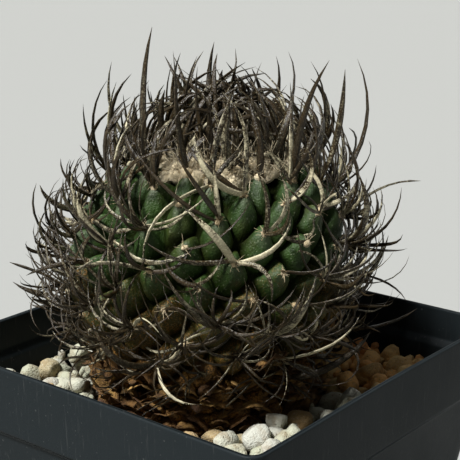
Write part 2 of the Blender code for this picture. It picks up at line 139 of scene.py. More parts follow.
class CactusStoneSettings(bpy.types.PropertyGroup):
    size: length("Size", "Longest side of a usual stone", 0.0052)
    count: IntProperty(name="Count", description="Loose stones in the layer round the plant", default=130,
                       min=0)
    grit: IntProperty(name="Grit", description="Small grains between the stones", default=420, min=0)
    seed: IntProperty(name="Seed", description="Changes the way the stones lie", default=5, min=0)
    pale: colour("Pale", "Colour of the pale pumice", (0.446, 0.446, 0.382))
    tan: colour("Tan", "Colour of the tan pumice", (0.432, 0.338, 0.18))
    clay: colour("Clay", "Colour of the fired clay", (0.900, 0.430, 0.120))
    crumb: colour("Crumb", "Colour of the soil crumbs", (0.0612, 0.036, 0.0187))


class CactusStageSettings(bpy.types.PropertyGroup):
    distance: length("Distance", "From the camera to the middle of the pot's rim", 0.2388)
    azimuth: FloatProperty(name="Azimuth", description="Turn of the camera round the pot", subtype="ANGLE",
                           default=math.radians(38.98))
    elevation: FloatProperty(name="Elevation", description="Height of the camera as an angle",
                             subtype="ANGLE", default=math.radians(16.395))
    roll: FloatProperty(name="Roll", description="Tilt of the camera", subtype="ANGLE",
                        default=math.radians(-0.195))
    right: length("Right", "How far the camera sits to the right of the rim's middle", 0.0020)
    above: length("Above", "How far the camera sits above the rim's middle, across its view", 0.0190)
    lens: FloatProperty(name="Lens", description="Focal length for a 36 mm sensor", default=100.53,
                        unit="CAMERA")
    floor: colour("Floor", "Colour of the floor and the wall behind", (0.296, 0.300, 0.286))


# ---- Meshes ------------------------------------------------------------------------------------


def unit(vectors):
    """Each vector divided by its length."""
    return vectors / np.maximum(np.linalg.norm(vectors, axis=-1, keepdims=True), 1e-12)


def ripple(points, size, seed, octaves=3):
    """A smooth irregular field between about -1 and 1: the mean of six sines along random directions,
    added up in octaves that are each half as strong and twice as fine."""
    random = np.random.default_rng(seed)
    total = np.zeros(points.shape[:-1])
    for octave in range(octaves):
        ways = unit(random.normal(size=(6, 3)))
        phases = random.uniform(0, 2 * math.pi, 6)
        waves = np.sin(points @ ways.T * (2 * math.pi * 2**octave / size) + phases)
        total += 1.6 * waves.mean(-1) / 2**octave
    return total


def capped_faces(count, rings, columns):
    """Faces of this many grids, each closed round, with a fan to a pole at both ends."""
    c = np.arange(columns)
    d = (c + 1) % columns
    r = np.arange(rings - 1)[:, None] * columns
    low, high = rings * columns, rings * columns + 1
    last = (rings - 1) * columns
    quads = np.stack([r + c, r + d, r + columns + d, r + columns + c], -1).reshape(-1, 4)
    fans = np.concatenate([
        np.stack([np.full(columns, low), d, c], -1),
        np.stack([last + c, last + d, np.full(columns, high)], -1),
    ])
    start = (np.arange(count) * (rings * columns + 2))[:, None, None]
    return (start + quads).reshape(-1, 4).tolist() + (start + fans).reshape(-1, 3).tolist()


def outward(turn):
    """The level directions at these turns, in radians."""
    return np.stack([np.cos(turn), np.sin(turn), np.zeros_like(turn)], -1)


def tubes(paths, widths, depths, facing, twist, sides, cup=0.0):
    """Closed tapering blades: an oval of this width and depth carried along each path.

    The oval's wide way is square to the path and to the facing direction, then turned by the twist. The cup
    bends it into a gutter whose edges stand up by this share of the width. Poles close both ends.
    """
    ways = unit(np.gradient(paths, axis=1))
    wide = unit(np.cross(ways, facing[:, None]))
    thin = np.cross(ways, wide)
    cos, sin = np.cos(twist)[..., None], np.sin(twist)[..., None]
    wide, thin = wide * cos + thin * sin, thin * cos - wide * sin
    turn = 2 * math.pi * np.arange(sides) / sides
    across = np.cos(turn) * widths[..., None] / 2
    through = np.sin(turn) * depths[..., None] / 2 - cup * np.cos(turn) ** 2 * widths[..., None]
    rings = paths[:, :, None] + wide[:, :, None] * across[..., None] + thin[:, :, None] * through[..., None]
    poles = np.stack([
        paths[:, 0] - ways[:, 0] * depths[:, :1] / 2, paths[:, -1] + ways[:, -1] * widths[:, -1:] / 2,
    ], 1)
    points = np.concatenate([rings.reshape(len(paths), -1, 3), poles], 1)
    return points.reshape(-1, 3), capped_faces(len(paths), paths.shape[1], sides)


def tube_marks(own, rings, sides):
    """A tube's marks: its own number, the share of its length, and which side of the oval, -1 to 1."""
    marks = np.zeros((len(own), rings * sides + 2, 3))
    marks[..., 0] = own[:, None]
    marks[:, :-2, 1] = np.repeat(np.linspace(0, 1, rings), sides)
    marks[:, -1, 1] = 1
    marks[:, :-2, 2] = np.tile(np.cos(2 * math.pi * np.arange(sides) / sides), rings)
    return marks.reshape(-1, 3)


def ball_marks(own, rings, columns):
    """A ball's marks: its own number three times over."""
    return np.repeat(np.repeat(own[:, None], 3, 1), rings * columns + 2, 0)


def balls(centres, sizes, dents, seed, rings, columns, flats=0):
    """Closed lumpy balls: a ball's radius is 1 plus sines of its position. Each is then pressed in at some
    flats, stretched to its own three sizes, turned at random and put at its centre."""
    random = np.random.default_rng(seed)
    count = len(centres)
    tilt = math.pi * (np.arange(rings) + 1) / (rings + 1) - math.pi / 2
    turn = 2 * math.pi * np.arange(columns) / columns
    ball = np.stack([
        np.cos(tilt)[:, None] * np.cos(turn), np.cos(tilt)[:, None] * np.sin(turn),
        np.sin(tilt)[:, None] * np.ones(columns),
    ], -1).reshape(-1, 3)
    ball = np.vstack([ball, -UP, UP])
    ways = random.normal(size=(count, 7, 3)) * np.array([1.2, 1.2, 1.8, 2.4, 3.2, 4.5, 6.0])[:, None]
    phases = random.uniform(0, 2 * math.pi, (count, 1, 7))
    weights = np.array([1.0, 1.0, 0.8, 0.55, 0.4, 0.28, 0.18])
    waves = np.sin(np.einsum("vk,nwk->nvw", ball, ways) + phases) @ weights
    points = ball * (1 + dents[:, None] * waves / 2)[..., None]
    for _ in range(flats):
        way = unit(random.normal(size=(count, 3)))
        over = np.einsum("nvk,nk->nv", points, way) - random.uniform(0.55, 0.88, (count, 1))
        points = points - np.clip(over, 0, None)[..., None] * way[:, None] * 0.82
    points = points * sizes[:, None] / 2
    spins, _ = np.linalg.qr(random.normal(size=(count, 3, 3)))
    spins[:, :, 0] *= np.sign(np.linalg.det(spins))[:, None]
    points = np.einsum("nvk,njk->nvj", points, spins) + centres[:, None]
    return points.reshape(-1, 3), capped_faces(count, rings, columns)


def add_piece(name, points, faces, material, slot, marks=None, stands_for=(), **numbers):
    """A mesh object at the origin, riding on the part's one body. Each point has a vector of marks, and may
    have more numbers under their own names."""
    mesh = bpy.data.meshes.new(name)
    mesh.from_pydata(np.asarray(points).tolist(), [], faces)
    if marks is not None:
        attribute = mesh.attributes.new("marks", "FLOAT_VECTOR", "POINT")
        attribute.data.foreach_set("vector", np.asarray(marks, np.float32).ravel())
    for key, values in numbers.items():
        attribute = mesh.attributes.new(key, "FLOAT", "POINT")
        attribute.data.foreach_set("value", np.asarray(values, np.float32))
    mesh.materials.append(material)
    mesh.shade_smooth()
    obj = bpy.data.objects.new(name, mesh)
    bpy.context.scene.collection.objects.link(obj)
    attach(obj, BODY)
    if stands_for:
        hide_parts(*stands_for)
    return obj


def nodes_named(start):
    """The CAD nodes whose names start this way, in order."""
    return sorted(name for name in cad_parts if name.startswith(start))


# ---- The plant's skin --------------------------------------------------------------------------


def along(table, share):
    """The values of a two-column table at these shares of the stem's height."""
    shares, values = zip(*table)
    return np.interp(share, shares, values)


class StemSkin:
    """The stem's skin in the grooves, laid out by a running number, as in the CAD part.

    Tubercle k sits k golden angles round, at the height where k tubercles' area of skin lies above it.
    """

    cell_area = 38.0 * MM**2
    crown_radius = 5.0 * MM
    slant = 0.45                # how far a tubercle points up the stem, as a share of its height
    tip_shift = 0.2             # how far its tip lies above its middle
    squareness = 4.0            # the power that makes its foot fill the cell
    slope = 1.7                 # the powers that set how its sides rise
    fullness = 0.70

    def __init__(self, tubercle):
        low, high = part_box("stem")
        self.bottom = low.z
        self.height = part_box("crown_wool")[0].z - CLEARANCE - low.z
        self.radius = (high.x - low.x + high.y - low.y) / 4 - tubercle
        self.tubercle = tubercle
        self.lean_way = np.array([math.cos(math.radians(39.0)), math.sin(math.radians(39.0)), 0.0])
        self.line = self.outline()
        steps = np.hypot(*np.diff(self.line, axis=0).T)
        middle = (self.line[1:] + self.line[:-1]) / 2
        area = self.cell_area * along(AREA_ALONG, middle[:, 1] / self.height)
        self.numbers = np.concatenate([[0.0], np.cumsum(2 * math.pi * middle[:, 0] * steps / area)])
        self.foot_number = float(self.numbers[-8])

    def outline(self):
        """Radius and height down the side, by a Catmull-Rom curve, then in under the stem."""
        knots = np.array(STEM_OUTLINE)
        ends = np.vstack([2 * knots[0] - knots[1], knots, 2 * knots[-1] - knots[-2]])
        t = np.linspace(0, 1, 12, endpoint=False)[:, None]
        a, b, c, d = (ends[i:len(ends) - 3 + i, None] for i in range(4))
        spans = b + 0.5 * t * (c - a + t * (2 * a - 5 * b + 4 * c - d + t * (3 * (b - c) + d - a)))
        side = np.vstack([spans.reshape(-1, 2), knots[-1:]])[::-1] * (self.radius, self.height)
        under = np.stack([side[-1, 0] * (1 - 0.1 * np.arange(1, 8)), np.zeros(7)], -1)
        line = np.vstack([side, under])
        return line[line[:, 0] >= self.crown_radius]

    def axis(self, z):
        """The middle of the stem at these heights."""
        shift = along(LEAN_ALONG, (z - self.bottom) / self.height) * MM
        return shift[..., None] * self.lean_way + np.asarray(z)[..., None] * UP

    def share(self, number):
        return np.interp(number, self.numbers, self.line[:, 1]) / self.height

    def place(self, angle, number):
        """Points on the skin, with the directions out of it, up along it and round it."""
        radius, height = (np.interp(number, self.numbers, self.line[:, i]) for i in (0, 1))
        run, rise = (np.interp(number - 0.5, self.numbers, self.line[:, i])
                     - np.interp(number + 0.5, self.numbers, self.line[:, i]) for i in (0, 1))
        size = np.maximum(np.hypot(run, rise), 1e-9)
        run, rise = (run / size)[..., None], (rise / size)[..., None]
        radial = outward(angle)
        round_way = np.stack([-np.sin(angle), np.cos(angle), np.zeros_like(angle)], -1)
        point = radial * radius[..., None] + self.axis(self.bottom + height)
        return point, radial * rise - UP * run, radial * run + UP * rise, round_way

    def on_tubercle(self, number, a, b):
        """Points over tubercles: where a cell's a and b, from -1 to 1 along the two spiral rows, fall on the
        tubercle, with the directions there and how far the place stands out, from 0 in the groove to 1.

        With a and b shifted so that zero falls on the tip, that height is one minus a distance to a power,
        and all of it to another power. The distance is the sum of a and b each to a power, to one over that
        power.
        """
        few, many = SPIRALS
        angle = number * GOLDEN_ANGLE + a / 2 * spiral_turn(few) + b / 2 * spiral_turn(many)
        point, out, up, round_way = self.place(angle, number + a / 2 * few + b / 2 * many)
        a, b = (v + self.tip_shift * (1 - v * v) for v in (a, b))
        reach = (np.abs(a) ** self.squareness + np.abs(b) ** self.squareness) ** (1 / self.squareness)
        dome = np.clip(1 - reach**self.slope, 0, 1) ** self.fullness
        lift = (dome * self.tubercle * along(HEIGHT_ALONG, self.share(number)))[..., None]
        return point + (out + self.slant * dome[..., None] * up) * lift, out, up, round_way, dome

    def tips(self, numbers):
        """Where the spines of these tubercles stand, with the directions out, up and round there."""
        middle = np.full(len(numbers), (1 - math.sqrt(1 + 4 * self.tip_shift**2)) / (2 * self.tip_shift))
        return self.on_tubercle(numbers, middle, middle)[:4]

    def living(self, low=0.0, high=2.0):
        """The numbers of the tubercles between these shares of the stem's height."""
        numbers = np.arange(1.0, self.foot_number)
        share = self.share(numbers)
        return numbers[(share >= low) & (share < high)]

    def envelope(self, z):
        """The stem's radius over its tubercles at these heights, and nothing above its crown."""
        share = (z - self.bottom) / self.height
        side = self.line[::-1][7:]
        radius = np.interp(z - self.bottom, side[:, 1], side[:, 0])
        radius = radius + self.tubercle * along(HEIGHT_ALONG, np.clip(share, 0, 1))
        return np.where(share < 1.03, radius, 0.0)


def spiral_turn(count):
    """The turn from tubercle k to tubercle k + count, between -180 and 180 degrees."""
    turn = count * GOLDEN_ANGLE
    return turn - 2 * math.pi * round(turn / (2 * math.pi))


def stem_surface(skin, detail):
    """The skin as one mesh: a grid over each tubercle's cell, roughened by a ripple that is strongest on the
    dried foot and fades out in the grooves."""
    few, many = SPIRALS
    first = (few + many) // 2
    k = np.arange(first, int(skin.numbers[-1]) - first, dtype=float)[:, None, None]
    a, b = np.meshgrid(np.linspace(-1, 1, detail), np.linspace(-1, 1, detail), indexing="ij")
    point, out, _, _, dome = skin.on_tubercle(k, a, b)
    share = skin.share(k)
    dryness = np.clip((0.36 - share) / 0.10, 0, 1)
    rough = ripple(point, 3.0 * MM, 3, 4) * (0.22 + 0.40 * dryness) * MM
    point = point + out * (rough * np.clip(dome * 4, 0, 1))[..., None]
    r = np.arange(detail - 1)[:, None] * detail
    c = np.arange(detail - 1)
    cell = np.stack([r + c, r + detail + c, r + detail + c + 1, r + c + 1], -1).reshape(-1, 4)
    quads = (np.arange(len(k))[:, None, None] * detail**2 + cell).reshape(-1, 4)
    own = np.random.default_rng(17).uniform(0, 1, k.shape)
    marks = np.stack([np.broadcast_to(v, point.shape[:-1]) for v in (share, own, dome)], -1)
    return point.reshape(-1, 3), quads.tolist(), marks.reshape(-1, 3)


def weld_and_close(obj):
    """Merges the cells' shared edges, and fans each open loop to a pole in its middle."""
    work = bmesh.new()
    work.from_mesh(obj.data)
    bmesh.ops.remove_doubles(work, verts=work.verts, dist=2e-6)
    middle = sum(corner.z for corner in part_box("stem")) / 2
    edges = [edge for edge in work.edges if edge.is_boundary]
    for top in (True, False):
        loop = [edge for edge in edges if (edge.verts[0].co.z > middle) == top]
        rim = list(dict.fromkeys(v for edge in loop for v in edge.verts))     # each once, in a fixed order
        hub = work.verts.new(sum((v.co for v in rim), Vector()) / len(rim))
        for edge in loop:
            work.faces.new((edge.verts[0], edge.verts[1], hub)).smooth = True
    bmesh.ops.recalc_face_normals(work, faces=work.faces)
    work.to_mesh(obj.data)
    work.free()


# ---- Shader groups -----------------------------------------------------------------------------


def add_node(tree, kind, inputs=None, **settings):
    """A node with its settings, and its inputs set to values or linked to other nodes' outputs."""
    made = tree.nodes.new(kind)
    for key, value in settings.items():
        setattr(made, key, value)
    for socket, value in (inputs or {}).items():
        if isinstance(value, bpy.types.NodeSocket):
            tree.links.new(value, made.inputs[socket])
        else:
            made.inputs[socket].default_value = value
    return made


def math_node(tree, operation, *values, clamp=False):
    sockets = dict(enumerate(values))
    return add_node(tree, "ShaderNodeMath", sockets, operation=operation, use_clamp=clamp).outputs[0]


def times(tree, a, b):
    return math_node(tree, "MULTIPLY", a, b)


def plus(tree, a, b, clamp=False):
    return math_node(tree, "ADD", a, b, clamp=clamp)


def minus(tree, a, b, clamp=False):
    return math_node(tree, "SUBTRACT", a, b, clamp=clamp)


def mix_colour(tree, factor, a, b):
    """Colour a where the factor is 0 and b where it is 1."""
    made = add_node(tree, "ShaderNodeMix", data_type="RGBA")
    for index, value in ((0, factor), (6, a), (7, b)):
        if isinstance(value, bpy.types.NodeSocket):
            tree.links.new(value, made.inputs[index])
        elif index == 0:
            made.inputs[index].default_value = value
        else:
            made.inputs[index].default_value = (*tuple(value)[:3], 1.0)
    return made.outputs[2]


def ramp(tree, value, low, high, to_low=0.0, to_high=1.0):
    """The value's stretch from low to high, carried to another stretch and clamped there."""
    names = {"Value": value, "From Min": low, "From Max": high, "To Min": to_low, "To Max": to_high}
    return add_node(tree, "ShaderNodeMapRange", names, clamp=True).outputs[0]


def noise_node(tree, place, scale, detail, roughness=0.6):
    sockets = {"Vector": place, "Scale": scale, "Detail": detail, "Roughness": roughness}
    return add_node(tree, "ShaderNodeTexNoise", sockets).outputs["Fac"]


def new_group(name, inputs, outputs):
    """An empty shader group with these sockets, and its input and output nodes."""
    group = bpy.data.node_groups.new(name, "ShaderNodeTree")
    for socket, kind, default in inputs:
        made = group.interface.new_socket(name=socket, in_out="INPUT", socket_type=kind)
        if default is not None:
            made.default_value = default
    for socket, kind in outputs:
        group.interface.new_socket(name=socket, in_out="OUTPUT", socket_type=kind)
    return group, group.nodes.new("NodeGroupInput"), group.nodes.new("NodeGroupOutput")


def grain_group():
    """Fine grain over broad mottling. Size is the broad patches' width in metres."""
    name = "Grain and mottling"
    if name in bpy.data.node_groups:
        return bpy.data.node_groups[name]
    group, given, out = new_group(
        name,
        (("Vector", "NodeSocketVector", None), ("Size", "NodeSocketFloat", 0.003),
         ("Fine", "NodeSocketFloat", 8.0)),
        (("Mottle", "NodeSocketFloat"), ("Grain", "NodeSocketFloat")),
    )
    scale = math_node(group, "DIVIDE", 1.0, given.outputs["Size"])
    fine = times(group, scale, given.outputs["Fine"])
    for socket, rate, detail in (("Mottle", scale, 4.0), ("Grain", fine, 2.0)):
        noise = noise_node(group, given.outputs["Vector"], rate, detail)
        group.links.new(ramp(group, noise, 0.32, 0.68), out.inputs[socket])
    return group


def speck_group():
    """Small round specks scattered at random: 1 in a speck. Spacing and Size are in metres; Share is how many
    of the places hold one."""
    name = "Specks"
    if name in bpy.data.node_groups:
        return bpy.data.node_groups[name]
    group, given, out = new_group(
        name,
        (("Vector", "NodeSocketVector", None), ("Spacing", "NodeSocketFloat", 0.001),
         ("Size", "NodeSocketFloat", 0.0003), ("Share", "NodeSocketFloat", 0.5)),
        (("Mask", "NodeSocketFloat"),),
    )
    rate = math_node(group, "DIVIDE", 1.0, given.outputs["Spacing"])
    cells = add_node(group, "ShaderNodeTexVoronoi", {"Vector": given.outputs["Vector"], "Scale": rate})
    reach = math_node(group, "DIVIDE", given.outputs["Size"], given.outputs["Spacing"])
    near = math_node(group, "LESS_THAN", cells.outputs["Distance"], reach)
    red = add_node(group, "ShaderNodeSeparateColor", {"Color": cells.outputs["Color"]}).outputs[0]
    chosen = math_node(group, "LESS_THAN", red, given.outputs["Share"])
    group.links.new(times(group, near, chosen), out.inputs["Mask"])
    return group


def use_group(tree, group, **inputs):
    made = add_node(tree, "ShaderNodeGroup", node_tree=group)
    for socket, value in inputs.items():
        if isinstance(value, bpy.types.NodeSocket):
            tree.links.new(value, made.inputs[socket])
        else:
            made.inputs[socket].default_value = value
    return made.outputs


def new_material(name, roughness=0.6, **sockets):
    """A Principled material, its tree and shader, and a socket with Object coordinates."""
    material = bpy.data.materials.new(name)
    material.use_nodes = True
    tree = material.node_tree
    shader = tree.nodes["Principled BSDF"]
    shader.inputs["Roughness"].default_value = roughness
    for socket, value in sockets.items():
        shader.inputs[socket.replace("_", " ")].default_value = value
    place = add_node(tree, "ShaderNodeTexCoord").outputs["Object"]
    return material, tree, shader, place


def read_marks(tree):
    """The three numbers of each point's marks."""
    marks = add_node(tree, "ShaderNodeAttribute", attribute_name="marks")
    return add_node(tree, "ShaderNodeSeparateXYZ", {"Vector": marks.outputs["Vector"]}).outputs


def add_bump(tree, shader, height, strength, distance):
    bump = add_node(tree, "ShaderNodeBump", {"Height": height, "Strength": strength, "Distance": distance})
    tree.links.new(bump.outputs[0], shader.inputs["Normal"])


# ---- Materials ---------------------------------------------------------------------------------


def plastic_material(settings):
    """Black moulded plastic: fine upright scratches, lime specks and a thin mottled film of dust."""
    material, tree, shader, place = new_material("Black moulded plastic", 0.5, Specular_IOR_Level=0.05)
    link = tree.links.new
    grain = use_group(tree, grain_group(), Vector=place, Size=0.012, Fine=40.0)
    stretched = add_node(tree, "ShaderNodeMapping", {"Vector": place, "Scale": (1.0, 1.0, 0.06)}).outputs[0]
    scratch = ramp(tree, noise_node(tree, stretched, 1900.0, 3.0, 0.7), 0.60, 0.74)
    specks, fine_specks = (
        use_group(tree, speck_group(), Vector=place, Spacing=spacing, Size=size, Share=share)["Mask"]
        for spacing, size, share in ((0.0021, 0.00022, 0.35), (0.0008, 0.00011, 0.22))
    )
    film = times(tree, grain["Mottle"], 0.014 * settings.dust_amount)
    marked = times(tree, scratch, 0.20 * settings.dust_amount)
    lime = times(tree, math_node(tree, "MAXIMUM", specks, fine_specks), 0.30 * settings.dust_amount)
    dusty = plus(tree, plus(tree, film, marked), lime, clamp=True)
    base = mix_colour(tree, dusty, settings.plastic, settings.dust)
    link(base, shader.inputs["Base Color"])
    link(plus(tree, ramp(tree, grain["Mottle"], 0, 1, 0.34, 0.46), times(tree, dusty, 0.9),
                   clamp=True), shader.inputs["Roughness"])
    height = plus(tree, grain["Grain"], times(tree, scratch, -1.5))
    add_bump(tree, shader, height, 0.18, 0.00006)
    return material


def scaled(colour_value, *shares):
    """The colour with each of its numbers multiplied; one share does for all three."""
    shares = shares if len(shares) == 3 else shares * 3
    return [min(1.0, c * share) for c, share in zip(colour_value, shares)]


def skin_material(settings):
    """Living skin: green at the top, olive below it, dried brown cork at the foot, painted shade in the
    grooves, and dotted with fine white points."""
    material, tree, shader, place = new_material("Cactus skin", 0.5)
    link = tree.links.new
    share, own, dome = read_marks(tree)
    grain = use_group(tree, grain_group(), Vector=place, Size=0.0030, Fine=9.0)
    broad = use_group(tree, grain_group(), Vector=place, Size=0.0110, Fine=4.0)
    green = mix_colour(tree, grain["Mottle"], scaled(settings.green, 0.62), scaled(settings.green, 1.55))
    fresh = scaled(settings.green, 1.35, 1.5, 2.0)
    green = mix_colour(tree, ramp(tree, own, 0.3, 1.0, 0.0, 0.6), green, fresh)
    green = mix_colour(tree, ramp(tree, broad["Mottle"], 0.55, 1.0, 0.0, 0.5), green, settings.olive)
    chance = minus(tree, math_node(tree, "FRACT", times(tree, own, 7.31)), 0.5)
    wavy = plus(tree, share, times(tree, chance, 0.20))
    wavy = plus(tree, wavy, ramp(tree, grain["Mottle"], 0, 1, -0.04, 0.04))
    olive = mix_colour(tree, grain["Mottle"], settings.olive, scaled(settings.olive, 0.4))
    olive = mix_colour(tree, ramp(tree, own, 0.6, 0.9), olive, scaled(settings.olive, 1.0, 1.25, 2.0))
    skin = mix_colour(tree, ramp(tree, wavy, 0.60, 0.50), green, olive)
    worn = times(tree, ramp(tree, grain["Grain"], 0.55, 0.8), ramp(tree, wavy, 0.62, 0.38))
    skin = mix_colour(tree, worn, skin, scaled(settings.cork, 0.6))
    cork = mix_colour(tree, ramp(tree, grain["Grain"], 0.1, 0.8), scaled(settings.cork, 0.12), settings.cork)
    cork = mix_colour(tree, ramp(tree, grain["Mottle"], 0.35, 0.9), cork, scaled(settings.cork, 0.3))
    steady = plus(tree, share, times(tree, chance, 0.05))
    dry = ramp(tree, steady, 0.36, 0.31)
    base = mix_colour(tree, dry, skin, cork)
    points = use_group(tree, speck_group(), Vector=place, Spacing=0.00066, Size=0.00016, Share=0.6)["Mask"]
    alive = minus(tree, 1.0, dry)
    dotted = times(tree, times(tree, points, alive), 0.34)
    base = mix_colour(tree, dotted, base, (0.22, 0.25, 0.15))
    # Painted highlight: the tubercle tips turn pale grey, more strongly towards the crown.
    young = times(tree, ramp(tree, dome, 0.80, 1.0), ramp(tree, share, 0.7, 1.0, 0.15, 0.5))
    base = mix_colour(tree, young, base, (0.19, 0.20, 0.145))
    # Painted shade: the skin turns near black in the grooves between the tubercles.
    groove = ramp(tree, dome, 0.0, 0.50, 0.88, 0.0)
    base = mix_colour(tree, groove, base, (0.006, 0.0055, 0.0025))
    link(base, shader.inputs["Base Color"])
    link(ramp(tree, dome, 0.1, 0.6, 0.0, 0.32), shader.inputs["Specular IOR Level"])
    link(plus(tree, ramp(tree, dry, 0, 1, 0.46, 0.80),
                   times(tree, grain["Grain"], 0.15)), shader.inputs["Roughness"])
    height = plus(tree, times(tree, points, 0.5),
                       times(tree, grain["Grain"], ramp(tree, dry, 0, 1, 0.5, 3.0)))
    add_bump(tree, shader, height, 0.8, 0.00022)
    return material


def fibre_group():
    """Streaks that run along a thin piece and bands across it, from its marks and its length in metres."""
    name = "Streaks and bands"
    if name in bpy.data.node_groups:
        return bpy.data.node_groups[name]
    group, given, out = new_group(
        name,
        (("Own", "NodeSocketFloat", 0.0), ("Along", "NodeSocketFloat", 0.0), ("Side", "NodeSocketFloat", 0.0),
         ("Length", "NodeSocketFloat", 0.01), ("Band", "NodeSocketFloat", 0.0006)),
        (("Streak", "NodeSocketFloat"), ("Band", "NodeSocketFloat"), ("Patch", "NodeSocketFloat")),
    )
    run = times(group, given.outputs["Along"], given.outputs["Length"])
    own = times(group, given.outputs["Own"], 91.7)
    rate = math_node(group, "DIVIDE", run, given.outputs["Band"])
    for socket, side, pace in (("Streak", 2.6, 0.12), ("Band", 0.35, 1.0), ("Patch", 0.5, 0.16)):
        place = add_node(group, "ShaderNodeCombineXYZ", {
            "X": times(group, given.outputs["Side"], side), "Y": own,
            "Z": times(group, rate, pace)}).outputs[0]
        group.links.new(ramp(group, noise_node(group, place, 1.0, 2.5), 0.36, 0.64), out.inputs[socket])
    return group


def read_fibre(tree, band):
    """The marks of a thin piece, and the streaks and bands that follow it."""
    own, share, side = read_marks(tree)
    size = add_node(tree, "ShaderNodeAttribute", attribute_name="span").outputs["Fac"]
    return own, share, use_group(tree, fibre_group(), Own=own, Along=share, Side=side, Length=size, Band=band)


def cork_material(settings):
    """Dried scales: layered straw and brown, streaked, with painted shade at their roots where they overlap,
    and dark at their torn tips.
    """
    material, tree, shader, place = new_material("Dried scales", 0.8)
    own, share, fibre = read_fibre(tree, 0.0006)
    grain = use_group(tree, grain_group(), Vector=place, Size=0.0014, Fine=5.0)
    dark = scaled(settings.cork, 0.10, 0.07, 0.06)
    straw = scaled(settings.cork, 1.25, 1.55, 2.0)
    # A low own number makes a dark scale; the scales low on the foot get low ones, as painted shade.
    base = mix_colour(tree, ramp(tree, own, 0.0, 0.35), dark, scaled(settings.cork, 0.55))
    base = mix_colour(tree, ramp(tree, own, 0.35, 1.0), base, straw)
    brown = scaled(settings.cork, 0.35)
    base = mix_colour(tree, ramp(tree, fibre["Streak"], 0.3, 1.0, 0.0, 0.75), base, brown)
    base = mix_colour(tree, ramp(tree, grain["Mottle"], 0.45, 1.0, 0.0, 0.7), base, dark)
    # Painted shade: each scale darkens towards its root, where it meets the skin under its neighbours.
    base = mix_colour(tree, ramp(tree, share, 0.45, 0.0, 0.0, 0.85), base, dark)
    base = mix_colour(tree, ramp(tree, share, 0.82, 1.0, 0.0, 0.6), base, dark)
    tree.links.new(base, shader.inputs["Base Color"])
    height = plus(tree, fibre["Streak"], times(tree, grain["Grain"], 0.6))
    add_bump(tree, shader, height, 0.8, 0.00022)
    return material


def spine_material(settings):
    """Papery spines: brown-black to ash-grey by their own number, streaked, cross-banded, with dark tips."""
    material, tree, shader, place = new_material("Papery spines", 0.5, Specular_IOR_Level=0.35)
    link = tree.links.new
    own, share, fibre = read_fibre(tree, 0.00042)
    grain = use_group(tree, grain_group(), Vector=place, Size=0.0024, Fine=9.0)
    ash = plus(tree, own, ramp(tree, fibre["Patch"], 0, 1, -0.34, 0.16))
    ash = minus(tree, ash, ramp(tree, share, 0.62, 1.0, 0.0, 0.75))
    ash = minus(tree, ash, ramp(tree, fibre["Band"], 0.35, 0.85, 0.0, 0.20), clamp=True)
    ash = ramp(tree, ash, 0.20, 0.64)
    brown = scaled(settings.dark, 2.8, 2.4, 1.8)
    base = mix_colour(tree, ramp(tree, fibre["Streak"], 0.2, 1.0), settings.dark, brown)
    base = mix_colour(tree, ash, base, settings.ash)
    pale = scaled(settings.ash, 1.55, 1.6, 1.6)
    flecks = times(tree, ramp(tree, grain["Grain"], 0.62, 0.80), ramp(tree, own, 0.1, 0.8, 0.05, 0.7))
    base = mix_colour(tree, flecks, base, pale)
    base = mix_colour(tree, ramp(tree, share, 0.05, 0.0, 0.0, 0.6), base, (0.22, 0.145, 0.07))
    link(base, shader.inputs["Base Color"])
    link(ramp(tree, fibre["Patch"], 0, 1, 0.26, 0.42), shader.inputs["Roughness"])
    height = plus(tree, fibre["Streak"], times(tree, fibre["Band"], 0.7))
    add_bump(tree, shader, plus(tree, height, grain["Grain"]), 0.5, 0.00009)
    return material


def wool_material(settings):
    """Wool: cream on the young pads, tan and felted on the old ones."""
    material, tree, shader, place = new_material("Wool", 1.0, Sheen_Weight=0.2)
    own = read_marks(tree)[0]
    grain = use_group(tree, grain_group(), Vector=place, Size=0.0012, Fine=6.0)
    tan = scaled(settings.wool, 0.55, 0.45, 0.32)
    base = mix_colour(tree, own, settings.wool, tan)
    base = mix_colour(tree, ramp(tree, grain["Mottle"], 0.4, 1.0, 0.0, 0.4), base, tan)
    tree.links.new(base, shader.inputs["Base Color"])
    add_bump(tree, shader, grain["Grain"], 0.8, 0.0002)
    return material


def stone_material(name, colours, pits):
    """Porous stone: a stone's own number picks its place on a row of colours, with stains, dust, and pits
    darkened by painted shade.
    """
    material, tree, shader, place = new_material(name, 0.92)
    own = read_marks(tree)[0]
    grain = use_group(tree, grain_group(), Vector=place, Size=0.0024, Fine=7.0)
    row = add_node(tree, "ShaderNodeValToRGB", {"Fac": own})
    band = row.color_ramp
    while len(band.elements) < len(colours):
        band.elements.new(0.5)
    for index, tint in enumerate(colours):
        band.elements[index].position = index / (len(colours) - 1)
        band.elements[index].color = (*tint, 1.0)
    base = row.outputs["Color"]
    stain = scaled(colours[-1], 0.6)
    shade = mix_colour(tree, ramp(tree, grain["Mottle"], 0.35, 1.0, 0.0, 0.55), base, stain)
    shade = mix_colour(tree, ramp(tree, grain["Grain"], 0.35, 0.0, 0.0, 0.25), shade, (0.58, 0.58, 0.53))
    holes = add_node(tree, "ShaderNodeTexVoronoi", {"Vector": place, "Scale": 1 / 0.0008})
    near = times(tree, ramp(tree, holes.outputs["Distance"], 0.30, 0.08),
                     ramp(tree, grain["Mottle"], 0.3, 0.7, 0.15, 1.0))
    # Painted shade in the pits: the same mask darkens the colour there and sinks the bump.
    pit = times(tree, near, pits)
    shade = mix_colour(tree, times(tree, pit, 0.75), shade, scaled(colours[-1], 0.30))
    tree.links.new(shade, shader.inputs["Base Color"])
    height = minus(tree, times(tree, grain["Grain"], 0.6), pit)
    add_bump(tree, shader, height, 0.8, 0.00025)
    return material


